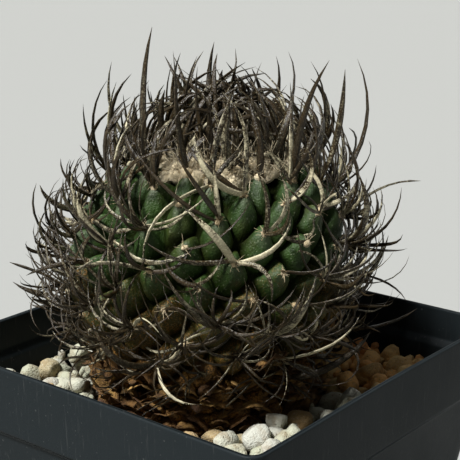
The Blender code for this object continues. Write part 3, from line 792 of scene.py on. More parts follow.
def soil_material(name, colours):
    """Loose grains: each small cell takes its own place between two colours, with painted shade between
    the grains.
    """
    material, tree, shader, place = new_material(name, 0.95)
    cells = add_node(tree, "ShaderNodeTexVoronoi", {"Vector": place, "Scale": 1 / 0.0016})
    red = add_node(tree, "ShaderNodeSeparateColor", {"Color": cells.outputs["Color"]}).outputs[0]
    grain = use_group(tree, grain_group(), Vector=place, Size=0.006, Fine=14.0)
    base = mix_colour(tree, red, *colours)
    # Painted shade between the grains: towards each cell's edge the colour darkens and the bump sinks.
    gap_depth_and_shade = ramp(tree, cells.outputs["Distance"], 0.35, 0.75, 0.0, 0.85)
    base = mix_colour(tree, gap_depth_and_shade, base, scaled(colours[0], 0.15))
    base = mix_colour(tree, ramp(tree, grain["Mottle"], 0, 1, 0.0, 0.3), base, colours[0])
    tree.links.new(base, shader.inputs["Base Color"])
    height = minus(tree, times(tree, grain["Grain"], 0.3), gap_depth_and_shade)
    add_bump(tree, shader, height, 1.0, 0.0006)
    return material


def floor_material(settings):
    material, tree, shader, place = new_material("Pale paper floor", 0.9)
    grain = use_group(tree, grain_group(), Vector=place, Size=0.25, Fine=60.0)
    base = mix_colour(tree, ramp(tree, grain["Mottle"], 0, 1, 0.0, 0.04), settings.floor, (0.28, 0.28, 0.27))
    tree.links.new(base, shader.inputs["Base Color"])
    add_bump(tree, shader, grain["Grain"], 0.05, 0.0003)
    return material


# ---- Pot ---------------------------------------------------------------------------------------


def rounded(outline, steps=4):
    """The outline with each corner replaced by a curve: a quadratic Bezier between points one radius along
    each side, with one more point a little further out, so that the shading stays flat beside it."""
    points = []
    for before, corner, after in zip(outline, outline[1:], outline[2:]):
        here = np.array(corner[:-1], float)
        radius = corner[-1]
        ways = [np.array(p[:-1], float) - here for p in (before, after)]
        ways = [way / np.linalg.norm(way[:2]) for way in ways]
        t = np.linspace(0, 1, steps + 1)[:, None]
        ends = [here + way * radius for way in ways]
        curve = (1 - t) ** 2 * ends[0] + 2 * t * (1 - t) * here + t**2 * ends[1]
        points += [here + ways[0] * radius * 1.9, *curve, here + ways[1] * radius * 1.9]
    return np.array([np.array(outline[0][:-1]), *points, np.array(outline[-1][:-1])], float)


def square_rings(half, z, radius, bow):
    """Rings round a square with rounded corners, whose sides are pulled in by the bow in their middle."""
    turn = np.linspace(0, math.pi / 2, 9)
    side = np.sin(np.linspace(-0.5, 0.5, 13)[1:-1] * math.pi)
    rings = []
    for quarter in range(4):
        cos, sin = math.cos(quarter * math.pi / 2), math.sin(quarter * math.pi / 2)
        x = np.concatenate([(half - radius)[:, None] + radius[:, None] * np.cos(turn),
                            -(half - radius)[:, None] * side], 1)
        y = np.concatenate([(half - radius)[:, None] + radius[:, None] * np.sin(turn),
                            half[:, None] - bow[:, None] * np.cos(side * math.pi / 2) ** 2], 1)
        rings.append(np.stack([x * cos - y * sin, x * sin + y * cos], -1))
    flat = np.concatenate(rings, 1)
    return np.concatenate([flat, np.broadcast_to(z[:, None, None], (*flat.shape[:2], 1))], -1)


def pot_points(settings):
    """The pot's shell: its outline, from the middle of the underside, up outside, over the lip and down to
    the middle of the floor, carried round a square whose corners are rounded and whose sides bow in."""
    low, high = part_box("pot")
    half = (high.x - low.x) / 2
    rim = high.z
    foot = half * 27.5 / 37.5       # half the width of the foot, from the pot's taper
    wall = settings.wall
    lean = 0.35 * MM
    band, step, ledge, slope, raised, floor = (v * MM for v in (12.2, 0.9, 6.0, 1.3, 2.2, 3.6))
    outer = half - lean - step
    inner_high = outer - wall
    corner, inside = settings.corner, settings.corner - wall
    outline = (
        (0.004, raised, inside, 0), (foot - 2.3 * MM, raised, inside, 0.0004),
        (foot - 2 * MM, 0, inside, 0.0003), (foot, 0, corner, 0.0005),
        (outer, rim - band - step, corner, 0.0004),
        (half - lean, rim - band, corner, 0.0003), (half, rim, corner, 0.0003),
        (half - wall, rim, inside, 0.0003), (half - wall, rim - ledge, inside, 0.0003),
        (inner_high, rim - ledge - slope, inside, 0.0003), (foot - wall, floor, inside, 0.001),
        (0.004, floor, inside, 0),
    )
    profile = rounded(outline)
    radius = np.minimum(profile[:, 2], profile[:, 0])
    share = np.clip(profile[:, 1] / rim, 0, 1)
    rings = square_rings(profile[:, 0], profile[:, 1], radius, settings.bow * share**2)
    poles = np.array([[0, 0, raised], [0, 0, floor]])
    middle = np.array([(low.x + high.x) / 2, (low.y + high.y) / 2, low.z])
    return np.vstack([rings.reshape(-1, 3), poles]) + middle, capped_faces(1, *rings.shape[:2]), floor


def cut_drains(obj, floor):
    """Cuts the drain holes, one in the middle and four round it, by exact Booleans that are then applied."""
    sides, radius, apart = 24, 3.5 * MM, 15 * MM
    levels = (0.0012, floor + 0.001)
    turn = 2 * math.pi * np.arange(sides) / sides
    ring = np.stack([np.cos(turn), np.sin(turn)], -1) * radius
    cutters = []
    for number, (x, y) in enumerate([(0, 0), (-1, -1), (-1, 1), (1, -1), (1, 1)]):
        circle = ring + (x * apart, y * apart)
        rings = np.stack([np.column_stack([circle, np.full(sides, z)]) for z in levels])
        poles = np.array([[x * apart, y * apart, z] for z in levels])
        mesh = bpy.data.meshes.new("drain_cutter")
        mesh.from_pydata(np.vstack([rings.reshape(-1, 3), poles]).tolist(), [], capped_faces(1, 2, sides))
        cutter = bpy.data.objects.new(f"drain_cutter_{number}", mesh)
        bpy.context.scene.collection.objects.link(cutter)
        cut = obj.modifiers.new("drain", "BOOLEAN")
        cut.object, cut.operation, cut.solver = cutter, "DIFFERENCE", "EXACT"
        cutters.append(cutter)
    bpy.context.view_layer.update()
    graph = bpy.context.evaluated_depsgraph_get()
    finished = bpy.data.meshes.new_from_object(obj.evaluated_get(graph))
    obj.modifiers.clear()
    obj.data = finished
    for cutter in cutters:
        bpy.data.objects.remove(cutter)


class CACTUS_OT_pot(bpy.types.Operator):
    """Adds the square nursery pot, with its lip, outside band, inside ledge and drain holes"""

    bl_idname = "cactus.pot"
    bl_label = "Pot"

    def execute(self, context):
        settings = context.scene.cactus_pot
        points, faces, floor = pot_points(settings)
        material = plastic_material(settings)
        obj = add_piece("pot_shell", points, faces, material, "black_plastic", stands_for=["pot"])
        cut_drains(obj, floor)
        return {"FINISHED"}


class CACTUS_OT_soil(bpy.types.Operator):
    """Gives the potting mix and the gravel layer under the loose stones their grain"""

    bl_idname = "cactus.soil"
    bl_label = "Soil"

    def execute(self, context):
        soil = soil_material("Potting mix", ((0.030, 0.020, 0.013), (0.14, 0.09, 0.055)))
        gravel = soil_material("Gravel layer", ((0.05, 0.035, 0.024), (0.34, 0.27, 0.19)))
        for node, material in (("potting_mix", soil), ("gravel_bed", gravel)):
            for material_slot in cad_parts[node].material_slots:
                material_slot.material = material
        return {"FINISHED"}


# ---- Stones ------------------------------------------------------------------------------------


def turn_from(places, azimuth):
    """Degrees between each place's direction from the pot's middle and this azimuth, without sign."""
    turn = np.degrees(np.arctan2(places[:, 1], places[:, 0])) - azimuth
    return np.abs((turn + 180) % 360 - 180)


def scatter(random, count, sizes, half, middle, inner):
    """Places round the stem, none too close to another: the largest stone picks first, and a place is kept
    if it is clear of the stem, of the walls and of the places already kept."""
    kept = np.zeros((0, 3))
    sizes = np.sort(random.uniform(*sizes, count * 40))[::-1]
    for (x, y), across in zip(random.uniform(-half, half, (count * 40, 2)), sizes):
        if len(kept) == count:
            break
        reach = math.hypot(x - middle[0], y - middle[1])
        if reach < inner + across * 0.4 or max(abs(x), abs(y)) > half - across * 0.5:
            continue
        gaps = np.hypot(kept[:, 0] - x, kept[:, 1] - y) - 0.42 * (kept[:, 2] + across)
        if len(kept) == 0 or gaps.min() > 0:
            kept = np.vstack([kept, (x, y, across)])
    return kept


class CACTUS_OT_stones(bpy.types.Operator):
    """Adds the loose stones: the top ones where the CAD part has them, a bedded layer, grit between them, and
    crumbs of soil and litter near the stem"""

    bl_idname = "cactus.stones"
    bl_label = "Stones"

    # the sides where clay stones and litter lie: azimuth, and degrees to each side of it
    clay_side = (60.0, 36.0)
    litter_side = (-92.0, 34.0)

    def execute(self, context):
        settings = context.scene.cactus_stones
        random = np.random.default_rng(settings.seed)
        skin = StemSkin(context.scene.cactus_stem.tubercle)
        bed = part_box("gravel_bed")[1].z
        middle = skin.axis(np.array([bed]))[0]
        inner = skin.envelope(np.array([bed + 1.5 * MM]))[0]
        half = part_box("pot")[1].x - WALL_ROOM
        pale, tan, clay, crumb = settings.pale, settings.tan, settings.clay, settings.crumb
        pale_row = (pale, scaled(pale, 0.92, 0.92, 0.80), scaled(pale, 0.72, 0.74, 0.62), tan,
                    scaled(tan, 0.75, 0.6, 0.45))
        clay_row = (clay, scaled(clay, 1.15, 1.45, 2.0), scaled(clay, 1.0, 1.6, 2.6),
                    scaled(clay, 0.6, 0.5, 0.5))
        crumb_row = (crumb, scaled(crumb, 2.0, 1.8, 1.5), scaled(crumb, 0.4))
        materials = {
            "pumice": stone_material("Pumice", pale_row, 0.9),
            "fired_clay": stone_material("Fired clay", clay_row, 0.6),
            "potting_mix": stone_material("Soil crumbs", crumb_row, 0.5),
        }
        names = nodes_named("pumice_stone") + nodes_named("clay_stone")
        boxes = np.array([[list(corner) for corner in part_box(name)] for name in names])
        top = (boxes.mean(1), (boxes[:, 1] - boxes[:, 0]) * 1.08)
        size = settings.size
        # how many, the sizes from and to and the level as shares of a usual stone, and how deep they sink
        layer, upper, grit = (
            self.lay(random, count, (small * size, large * size), half, middle, inner, bed + up * size, sink)
            for count, small, large, up, sink in (
                (settings.count, 0.70, 1.25, 0.0, (0.10, 0.34)),
                (settings.count // 2, 0.55, 1.05, 0.45, (0.0, 0.30)),
                (settings.grit, 0.18, 0.42, 0.10, (0.1, 0.9)),
            )
        )
        for label, (places, sizes), grid, flats in (
            ("top", top, (14, 18), 9), ("layer", layer, (10, 14), 8), ("upper", upper, (10, 14), 8),
            ("grit", grit, (4, 6), 0),
        ):
            self.add_kinds(label, places, sizes, grid, flats, materials, random, middle, inner)
        return {"FINISHED"}

    def lay(self, random, count, sizes, half, middle, inner, level, sink):
        """Centres and sizes of stones lying at this level."""
        rows = scatter(random, count, sizes, half, middle, inner)
        across = rows[:, 2:]
        height = level + across[:, 0] * random.uniform(*sink, len(rows))
        shape = random.uniform((0.85, 0.75, 0.62), (1.15, 1.0, 0.85), (len(rows), 3))
        return np.column_stack([rows[:, :2], height]), across * shape

    def add_kinds(self, label, places, sizes, grid, flats, materials, random, middle, inner):
        reach = np.hypot(*(places[:, :2] - middle[:2]).T)
        azimuth, spread = self.litter_side
        litter = (turn_from(places, azimuth) < spread) & (reach < inner + 7.5 * MM)
        litter |= reach < inner + random.uniform(0.3, 2.2, len(places)) * MM
        azimuth, spread = self.clay_side
        clay = (turn_from(places, azimuth) < spread) & ~litter
        places = places - UP * np.where(litter, 1.5 * MM, 0)[:, None]
        sizes = sizes * np.where(litter, 0.8, 1.0)[:, None]
        kinds = (("pumice", "pumice_stone", ~clay & ~litter), ("fired_clay", "clay_stone", clay),
                 ("potting_mix", "crumb", litter))
        for slot, start, chosen in kinds:
            count = int(chosen.sum())
            if not count:
                continue
            own = random.beta(0.8, 1.7, count) if slot == "pumice" else random.uniform(0, 1, count)
            dents = random.uniform(0.12, 0.24, count)
            seed = int(random.integers(1e6))
            points, faces = balls(places[chosen], sizes[chosen], dents, seed, *grid, flats)
            stands_for = nodes_named(start) if label == "top" and slot != "potting_mix" else ()
            marks = ball_marks(own, *grid)
            add_piece(f"{start}s_{label}", points, faces, materials[slot], slot, marks, stands_for)


# ---- Stem --------------------------------------------------------------------------------------


class CACTUS_OT_stem(bpy.types.Operator):
    """Adds the stem: one skin of tubercles in spiral rows, over green, olive and dried skin"""

    bl_idname = "cactus.stem"
    bl_label = "Stem"

    def execute(self, context):
        settings = context.scene.cactus_stem
        points, faces, marks = stem_surface(StemSkin(settings.tubercle), settings.detail)
        obj = add_piece("cactus_body", points, faces, skin_material(settings), "stem_skin", marks, ["stem"])
        weld_and_close(obj)
        return {"FINISHED"}


class CACTUS_OT_scales(bpy.types.Operator):
    """Adds the dried scales at the stem's foot: thin cupped plates overlapping like tiles, and torn flakes"""

    bl_idname = "cactus.scales"
    bl_label = "Dried scales"

    # label, plates to a tubercle, length and width from and to in mm, lift, sideways and cup from and to
    kinds = (
        ("scales", 3, (1.3, 2.5), (4.4, 7.4), (-0.35, 0.45), 0.3, -0.26),
        ("flakes", 3, (1.0, 2.4), (0.9, 2.6), (-0.6, 1.0), 0.9, -0.10),
    )

    def execute(self, context):
        settings = context.scene.cactus_stem
        material = cork_material(settings)
        skin = StemSkin(settings.tubercle)
        random = np.random.default_rng(21)
        for label, each, lengths, widths, lifts, sideways, cup in self.kinds:
            self.add_kind(skin, material, random, label, each, lengths, widths, lifts, sideways, cup)
        return {"FINISHED"}

    def add_kind(self, skin, material, random, label, each, lengths, widths, lifts, sideways, cup):
        rings, sides = 6, 8
        numbers = np.repeat(skin.living(0.02, 0.345), each)
        count = len(numbers)
        root, out, up, round_way, _ = skin.on_tubercle(
            numbers, *(random.uniform(-0.8, 0.8, count) for _ in range(2)))
        root = root - out * 0.8 * MM
        s = np.linspace(0, 1, rings)
        size = random.uniform(*lengths, (count, 1, 1)) * MM
        way = out[:, None] + up[:, None] * random.uniform(*lifts, (count, 1, 1))
        way = way + round_way[:, None] * random.normal(0, sideways, (count, 1, 1))
        curl = random.uniform(-0.6, 0.8, (count, 1, 1))
        paths = root[:, None] + (way * s[:, None] + up[:, None] * curl * s[:, None] ** 2) * size
        taper = 1 - 0.9 * np.clip(s - 0.25, 0, 1) ** 1.5 - 0.10 * s
        width = random.uniform(*widths, (count, 1)) * MM * taper
        width = width * random.uniform(0.85, 1.15, (count, rings))
        depth = np.full((count, rings), 0.30 * MM) * (1 - 0.6 * s)
        twist = random.normal(0, 0.22, (count, 1)) + np.zeros(rings)
        points, faces = tubes(paths, width, depth, up, twist, sides, cup)
        away = unit(points - skin.axis(points[:, 2]))
        points = points + 0.30 * MM * ripple(points, 2.0 * MM, 8)[:, None] * away
        # Painted shade: scales below a fifth of the stem's height get lower own numbers, so darker colours.
        own = random.uniform(0.1, 1, count) * np.clip(skin.share(numbers) / 0.20, 0.05, 1)
        span = np.repeat(size[:, 0, 0], rings * sides + 2)
        marks = tube_marks(own, rings, sides)
        add_piece(f"dried_{label}", points, faces, material, "stem_skin", marks, span=span)


class CACTUS_OT_wool(bpy.types.Operator):
    """Adds the wool: a cushion of curled fibres on the crown, and a pad with fibres on each tubercle's tip"""

    bl_idname = "cactus.wool"
    bl_label = "Wool"

    def execute(self, context):
        settings = context.scene.cactus_stem
        material = wool_material(settings)
        skin = StemSkin(settings.tubercle)
        random = np.random.default_rng(31)
        numbers = skin.living(0.33)
        share = skin.share(numbers)
        root, out, up, _ = skin.tips(numbers)
        young = np.clip((share - 0.90) / 0.08, 0, 1)
        low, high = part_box("crown_wool")
        centre = np.array([(low.x + high.x) / 2, (low.y + high.y) / 2, low.z])
        reach = (high.x - low.x) / 2
        shape = np.stack([1.1 + 1.5 * young, 1.1 + 1.5 * young, 1.1 + 1.3 * young], -1)
        sizes = shape * MM * random.uniform(0.8, 1.2, (len(root), 3))
        middles = root + out * (0.5 * young[:, None] - 0.15) * MM
        pads, faces = balls(middles, sizes, np.full(len(root), 0.42), 4, 6, 9)
        own = np.clip(1.0 - 0.9 * young - random.uniform(0, 0.5, len(root)), 0, 1)
        add_piece("areole_pads", pads, faces, material, "wool", ball_marks(own, 6, 9))
        tufts = self.crown_tufts(centre, reach, high.z - low.z, random)
        add_piece("crown_tufts", *tufts[:2], material, "wool", tufts[2], ["crown_wool"])
        each = 26
        self.add_fibres("pad_fibres", np.repeat(root, each, 0), np.repeat(out + 0.3 * up, each, 0),
                        np.repeat(0.8 + 1.9 * young, each), np.repeat(own, each), 0.7, material, random)
        count = 3000
        run = np.sqrt(random.uniform(0, 1, count)) * reach * 1.38
        turn = random.uniform(0, 2 * math.pi, count)
        edge = run / run.max()
        dome = (high.z - low.z) * (-0.10 + 0.95 * np.cos(edge * 1.3)) - 1.5 * MM * edge**3
        place = np.stack([run * np.cos(turn), run * np.sin(turn), dome], -1) + centre
        way = np.stack([np.cos(turn), np.sin(turn), np.full(count, 1.0)], -1)
        self.add_fibres("crown_fibres", place, way, np.full(count, 2.4), random.uniform(0, 0.4, count), 0.8,
                        material, random)
        return {"FINISHED"}

    def crown_tufts(self, centre, reach, height, random):
        """Soft lumps over the crown: centres on a sunflower spiral, on a low dome."""
        count = 130
        i = np.arange(count) + 0.5
        run = np.sqrt(i / count) * reach * 1.30
        edge = run / run.max()
        dome = height * (-0.35 + 0.95 * np.cos(edge * 1.3)) - 1.9 * MM * edge**3
        place = np.stack([run * np.cos(i * GOLDEN_ANGLE), run * np.sin(i * GOLDEN_ANGLE), dome], -1) + centre
        sizes = random.uniform(2.2, 3.6, (count, 3)) * MM
        points, faces = balls(place, sizes, np.full(count, 0.35), 6, 8, 12)
        return points, faces, ball_marks(random.uniform(0, 0.5, count), 8, 12)

    def add_fibres(self, name, start, way, length_mm, own, spread, material, random):
        """Curled hairs: three-sided tubes along arcs."""
        count = len(start)
        way = unit(unit(way) + random.normal(0, spread, (count, 3)))
        bend = random.normal(0, 0.8, (count, 1, 3))
        size = length_mm * random.uniform(0.5, 1.2, count) * MM
        s = np.linspace(0, 1, 4)[:, None]
        paths = start[:, None] + (way[:, None] * s + bend * s**2) * size[:, None, None]
        width = np.full((count, 4), 0.11 * MM) * (1 - 0.5 * s[:, 0])
        points, faces = tubes(paths, width, width, np.tile(UP, (count, 1)) + 0.3, np.zeros((count, 4)), 3)
        add_piece(name, points, faces, material, "wool", tube_marks(own, 4, 3))


# ---- Spines ------------------------------------------------------------------------------------

SPINE_STEPS = 9
SPINE_SIDES = 6


def spine_paths(root, start, target, size, curl, hook, wobble, random):
    """Curved paths: each sets off one way and turns towards its target, by the angle curl in all. The turn
    grows with the share of the length to the power hook, so a high hook bends only near the tip. A slow
    wave sideways is added, and the path is the running sum of its directions."""
    s = np.linspace(0, 1, SPINE_STEPS)
    towards = unit(target - start * (target * start).sum(-1, keepdims=True))
    side = np.cross(start, towards)
    angle = (curl[:, None] * s ** hook[:, None])[..., None]
    phase = random.uniform(0, 2 * math.pi, (len(root), 1))
    wave = (wobble[:, None] * np.sin(s * 5.5 + phase))[..., None]
    ways = unit(start[:, None] * np.cos(angle) + towards[:, None] * np.sin(angle) + side[:, None] * wave)
    steps = (ways[:, 1:] + ways[:, :-1]) / 2 * (size / (SPINE_STEPS - 1))[:, None, None]
    return root[:, None] + np.concatenate([np.zeros((len(root), 1, 3)), np.cumsum(steps, 1)], 1)


def keep_clear(paths, skin):
    """Pushes paths out of the stem, in from the pot's walls where they run below its rim, and most of the way
    up from the stones."""
    s = np.linspace(0, 1, paths.shape[1])
    away = paths - skin.axis(paths[..., 2])
    reach = np.linalg.norm(away, axis=-1)
    wanted = skin.envelope(paths[..., 2]) + CLEARANCE
    push = np.clip(wanted - reach, 0, 4 * MM) * np.clip(s / 0.3, 0, 1)
    paths = paths + unit(away) * push[..., None]
    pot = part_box("pot")[1]
    limit = pot.x - WALL_ROOM
    below = np.clip((pot.z + 2 * MM - paths[..., 2]) / (3 * MM), 0, 1)
    over = np.clip(np.abs(paths[..., :2]) - limit, 0, None)
    paths[..., :2] -= np.sign(paths[..., :2]) * over * below[..., None]
    stone_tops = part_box("gravel_bed")[1].z + 4.6 * MM
    sunk = np.clip(stone_tops - paths[..., 2], 0, None)
    paths[..., 2] += sunk * 0.85
    return paths


def add_spines(name, paths, width, sizes, own, facing, skin, material, random, stands_for=()):
    """Blades along the paths: broadest near the root, thinning to a point, and just under
    half as thick as wide."""
    count = len(paths)
    s = np.linspace(0, 1, SPINE_STEPS)
    taper = (0.75 + 0.25 * np.sin(np.minimum(s * 3.0, 1) * math.pi / 2)) * (1 - s**2.6) ** 0.9 + 0.04
    widths = width[:, None] * taper
    depths = np.minimum(widths * 0.45, 0.50 * MM)
    twist = random.normal(0, 0.4, (count, 1)) + random.normal(0, 0.7, (count, 1)) * s
    points, faces = tubes(keep_clear(paths, skin), widths, depths, facing, twist, SPINE_SIDES, 0.10)
    span = np.repeat(sizes, SPINE_STEPS * SPINE_SIDES + 2)
    marks = tube_marks(own, SPINE_STEPS, SPINE_SIDES)
    return add_piece(name, points, faces, material, "spine", marks, stands_for, span=span)


# The spines that stand out one by one: azimuth and share of the stem's height of the root, the
# tip's millimetres out, up and round from there, the millimetres it bows to the left as seen from outside,
# its width in mm, and how ashy it is from 0 to 1
FRONT_SPINES = (
    (-51, 0.80, 2, 10, -8, -1, 1.4, 0.80), (-56, 0.96, 9, -13, -10, -4, 1.0, 0.75),
    (-90, 0.80, 4, 11, -3, 1, 1.3, 0.80), (-45, 0.86, 1, 11, -1, 0, 1.2, 0.60),
    (-39, 0.84, 1, 12, -2, -1, 1.0, 0.30), (-31, 0.78, 1, 11, 2, -2, 0.9, 0.65),
    (-60, 0.97, 1, 5, 0, 0, 1.5, 0.10), (-35, 0.97, 0, 12, -3, 0, 1.4, 0.50),
    (-41, 0.98, 0, 14, 0, 1, 1.3, 0.35), (-50, 0.98, 0, 15, 1, 1, 1.3, 0.25),
    (-75, 0.98, -3, 15, 5, 4, 1.0, 0.15), (-60, 0.99, -3, 12, 9, 5, 1.0, 0.10),
    (-20, 0.98, -2, 13, -8, -4, 1.0, 0.10), (-15, 0.98, -1, 15, -4, -2, 1.0, 0.15),
    (-12, 0.40, 8, 8, 11, -1, 1.0, 0.90), (-85, 0.55, 2, 0, 8, 3, 0.7, 0.80),
    (-105, 0.35, 3, 6, 5, 2, 0.7, 0.80), (-80, 0.40, 2, -5, 10, -2, 0.65, 0.80),
    (-51, 0.76, 5, -5, 6, 3, 0.9, 0.35), (-10, 0.62, 9, 6, 7, -1, 0.85, 0.20),
    (-5, 0.70, 8, 6, 5, -1, 0.85, 0.25), (-95, 0.58, 8, 9, -8, -2, 0.8, 0.15),
    (-97, 0.72, 6, 10, -6, -1, 0.9, 0.20), (-110, 0.90, 4, 12, -2, 1, 1.0, 0.30),
    (-40, 0.50, 3, 9, 4, -2, 0.8, 0.40), (-70, 0.52, 4, 8, -4, 2, 0.8, 0.40),
    (-52, 0.57, 3, 8, -3, 1, 0.8, 0.50), (-25, 0.88, 2, 10, 3, -2, 1.1, 0.55),
)


class CACTUS_OT_front_spines(bpy.types.Operator):
    """Adds the spines that stand out one by one: from a tubercle to a chosen tip, bowed out and sideways"""

    bl_idname = "cactus.front_spines"
    bl_label = "Front spines"

    outward_bow = 0.15          # how far the middle bows out, as a share of the length

    def execute(self, context):
        settings = context.scene.cactus_spines
        skin = StemSkin(context.scene.cactus_stem.tubercle)
        random = np.random.default_rng(settings.seed + 50)
        rows = np.array(FRONT_SPINES, float)
        tips = skin.tips(skin.living())[0]
        azimuth = np.radians(rows[:, 0])
        z = skin.bottom + rows[:, 1] * skin.height
        radial = outward(azimuth)
        tangent = np.cross(UP, radial)
        base = skin.axis(z) + radial * skin.envelope(z)[:, None]
        apart = np.linalg.norm(base[:, None] - tips[None], axis=-1)
        near = apart.min(1)[:, None] < 6 * MM
        root = np.where(near, tips[apart.argmin(1)], base)
        chord = (radial * rows[:, 2:3] + UP * rows[:, 3:4] + tangent * rows[:, 4:5]) * MM
        away = radial * np.linalg.norm(chord, axis=-1)[:, None] * self.outward_bow
        sideways = unit(np.cross(radial, chord)) * rows[:, 5:6] * MM
        bend = root + chord / 2 + 2 * (away + sideways)
        s = np.linspace(0, 1, SPINE_STEPS)[:, None]
        end = root + chord
        paths = root[:, None] * (1 - s) ** 2 + bend[:, None] * 2 * s * (1 - s) + end[:, None] * s**2
        size = np.linalg.norm(np.diff(paths, axis=1), axis=-1).sum(1)
        width = rows[:, 6] * MM
        add_spines("front_spines", paths, width, size, rows[:, 7], radial, skin,
                   bpy.data.materials["Papery spines"], random)
        return {"FINISHED"}


class CACTUS_OT_long_spines(bpy.types.Operator):
    """Adds the longest spines, where the CAD part has them: arcs from a tubercle to a chosen tip"""

    bl_idname = "cactus.long_spines"
    bl_label = "Long spines"

    def execute(self, context):
        settings = context.scene.cactus_spines
        skin = StemSkin(context.scene.cactus_stem.tubercle)
        random = np.random.default_rng(settings.seed)
        rows = np.array(LONG_SPINES, float)
        tips, outs, _, _ = skin.tips(skin.living())
        azimuth = np.radians(rows[:, 0])
        z = skin.bottom + rows[:, 1] * skin.height
        target = skin.axis(z) + outward(azimuth) * skin.envelope(z)[:, None]
        chosen = np.linalg.norm(target[:, None] - tips[None], axis=-1).argmin(1)
        root, out = tips[chosen], outs[chosen]
        radial = unit(out * (1, 1, 0))
        tangent = np.cross(UP, radial)
        chord = (radial * rows[:, 2:3] + UP * rows[:, 3:4] + tangent * rows[:, 4:5]) * MM
        size = np.linalg.norm(chord, axis=-1)
        bulge = unit(np.cross(tangent, chord))
        half_turn = 2 * np.arctan(2 * rows[:, 5])
        s = np.linspace(0, 1, SPINE_STEPS)
        turn = half_turn[:, None] * (2 * s - 1)
        radius = (size / 2 / np.sin(half_turn))[:, None]
        run = (size[:, None] / 2 + radius * np.sin(turn))[..., None]
        rise = (radius * (np.cos(turn) - np.cos(half_turn)[:, None]))[..., None]
        wave = np.sin(s * 6.0 + random.uniform(0, 6, (len(rows), 1))) * 0.4 * MM * s
        paths = root[:, None] + unit(chord)[:, None] * run + bulge[:, None] * rise
        paths = paths + tangent[:, None] * wave[..., None]
        width = settings.width * random.uniform(0.75, 1.0, len(rows))
        add_spines("long_spines", paths, width, size, random.uniform(0, 0.5, len(rows)), radial, skin,
                   spine_material(settings), random, nodes_named("spine"))
        return {"FINISHED"}


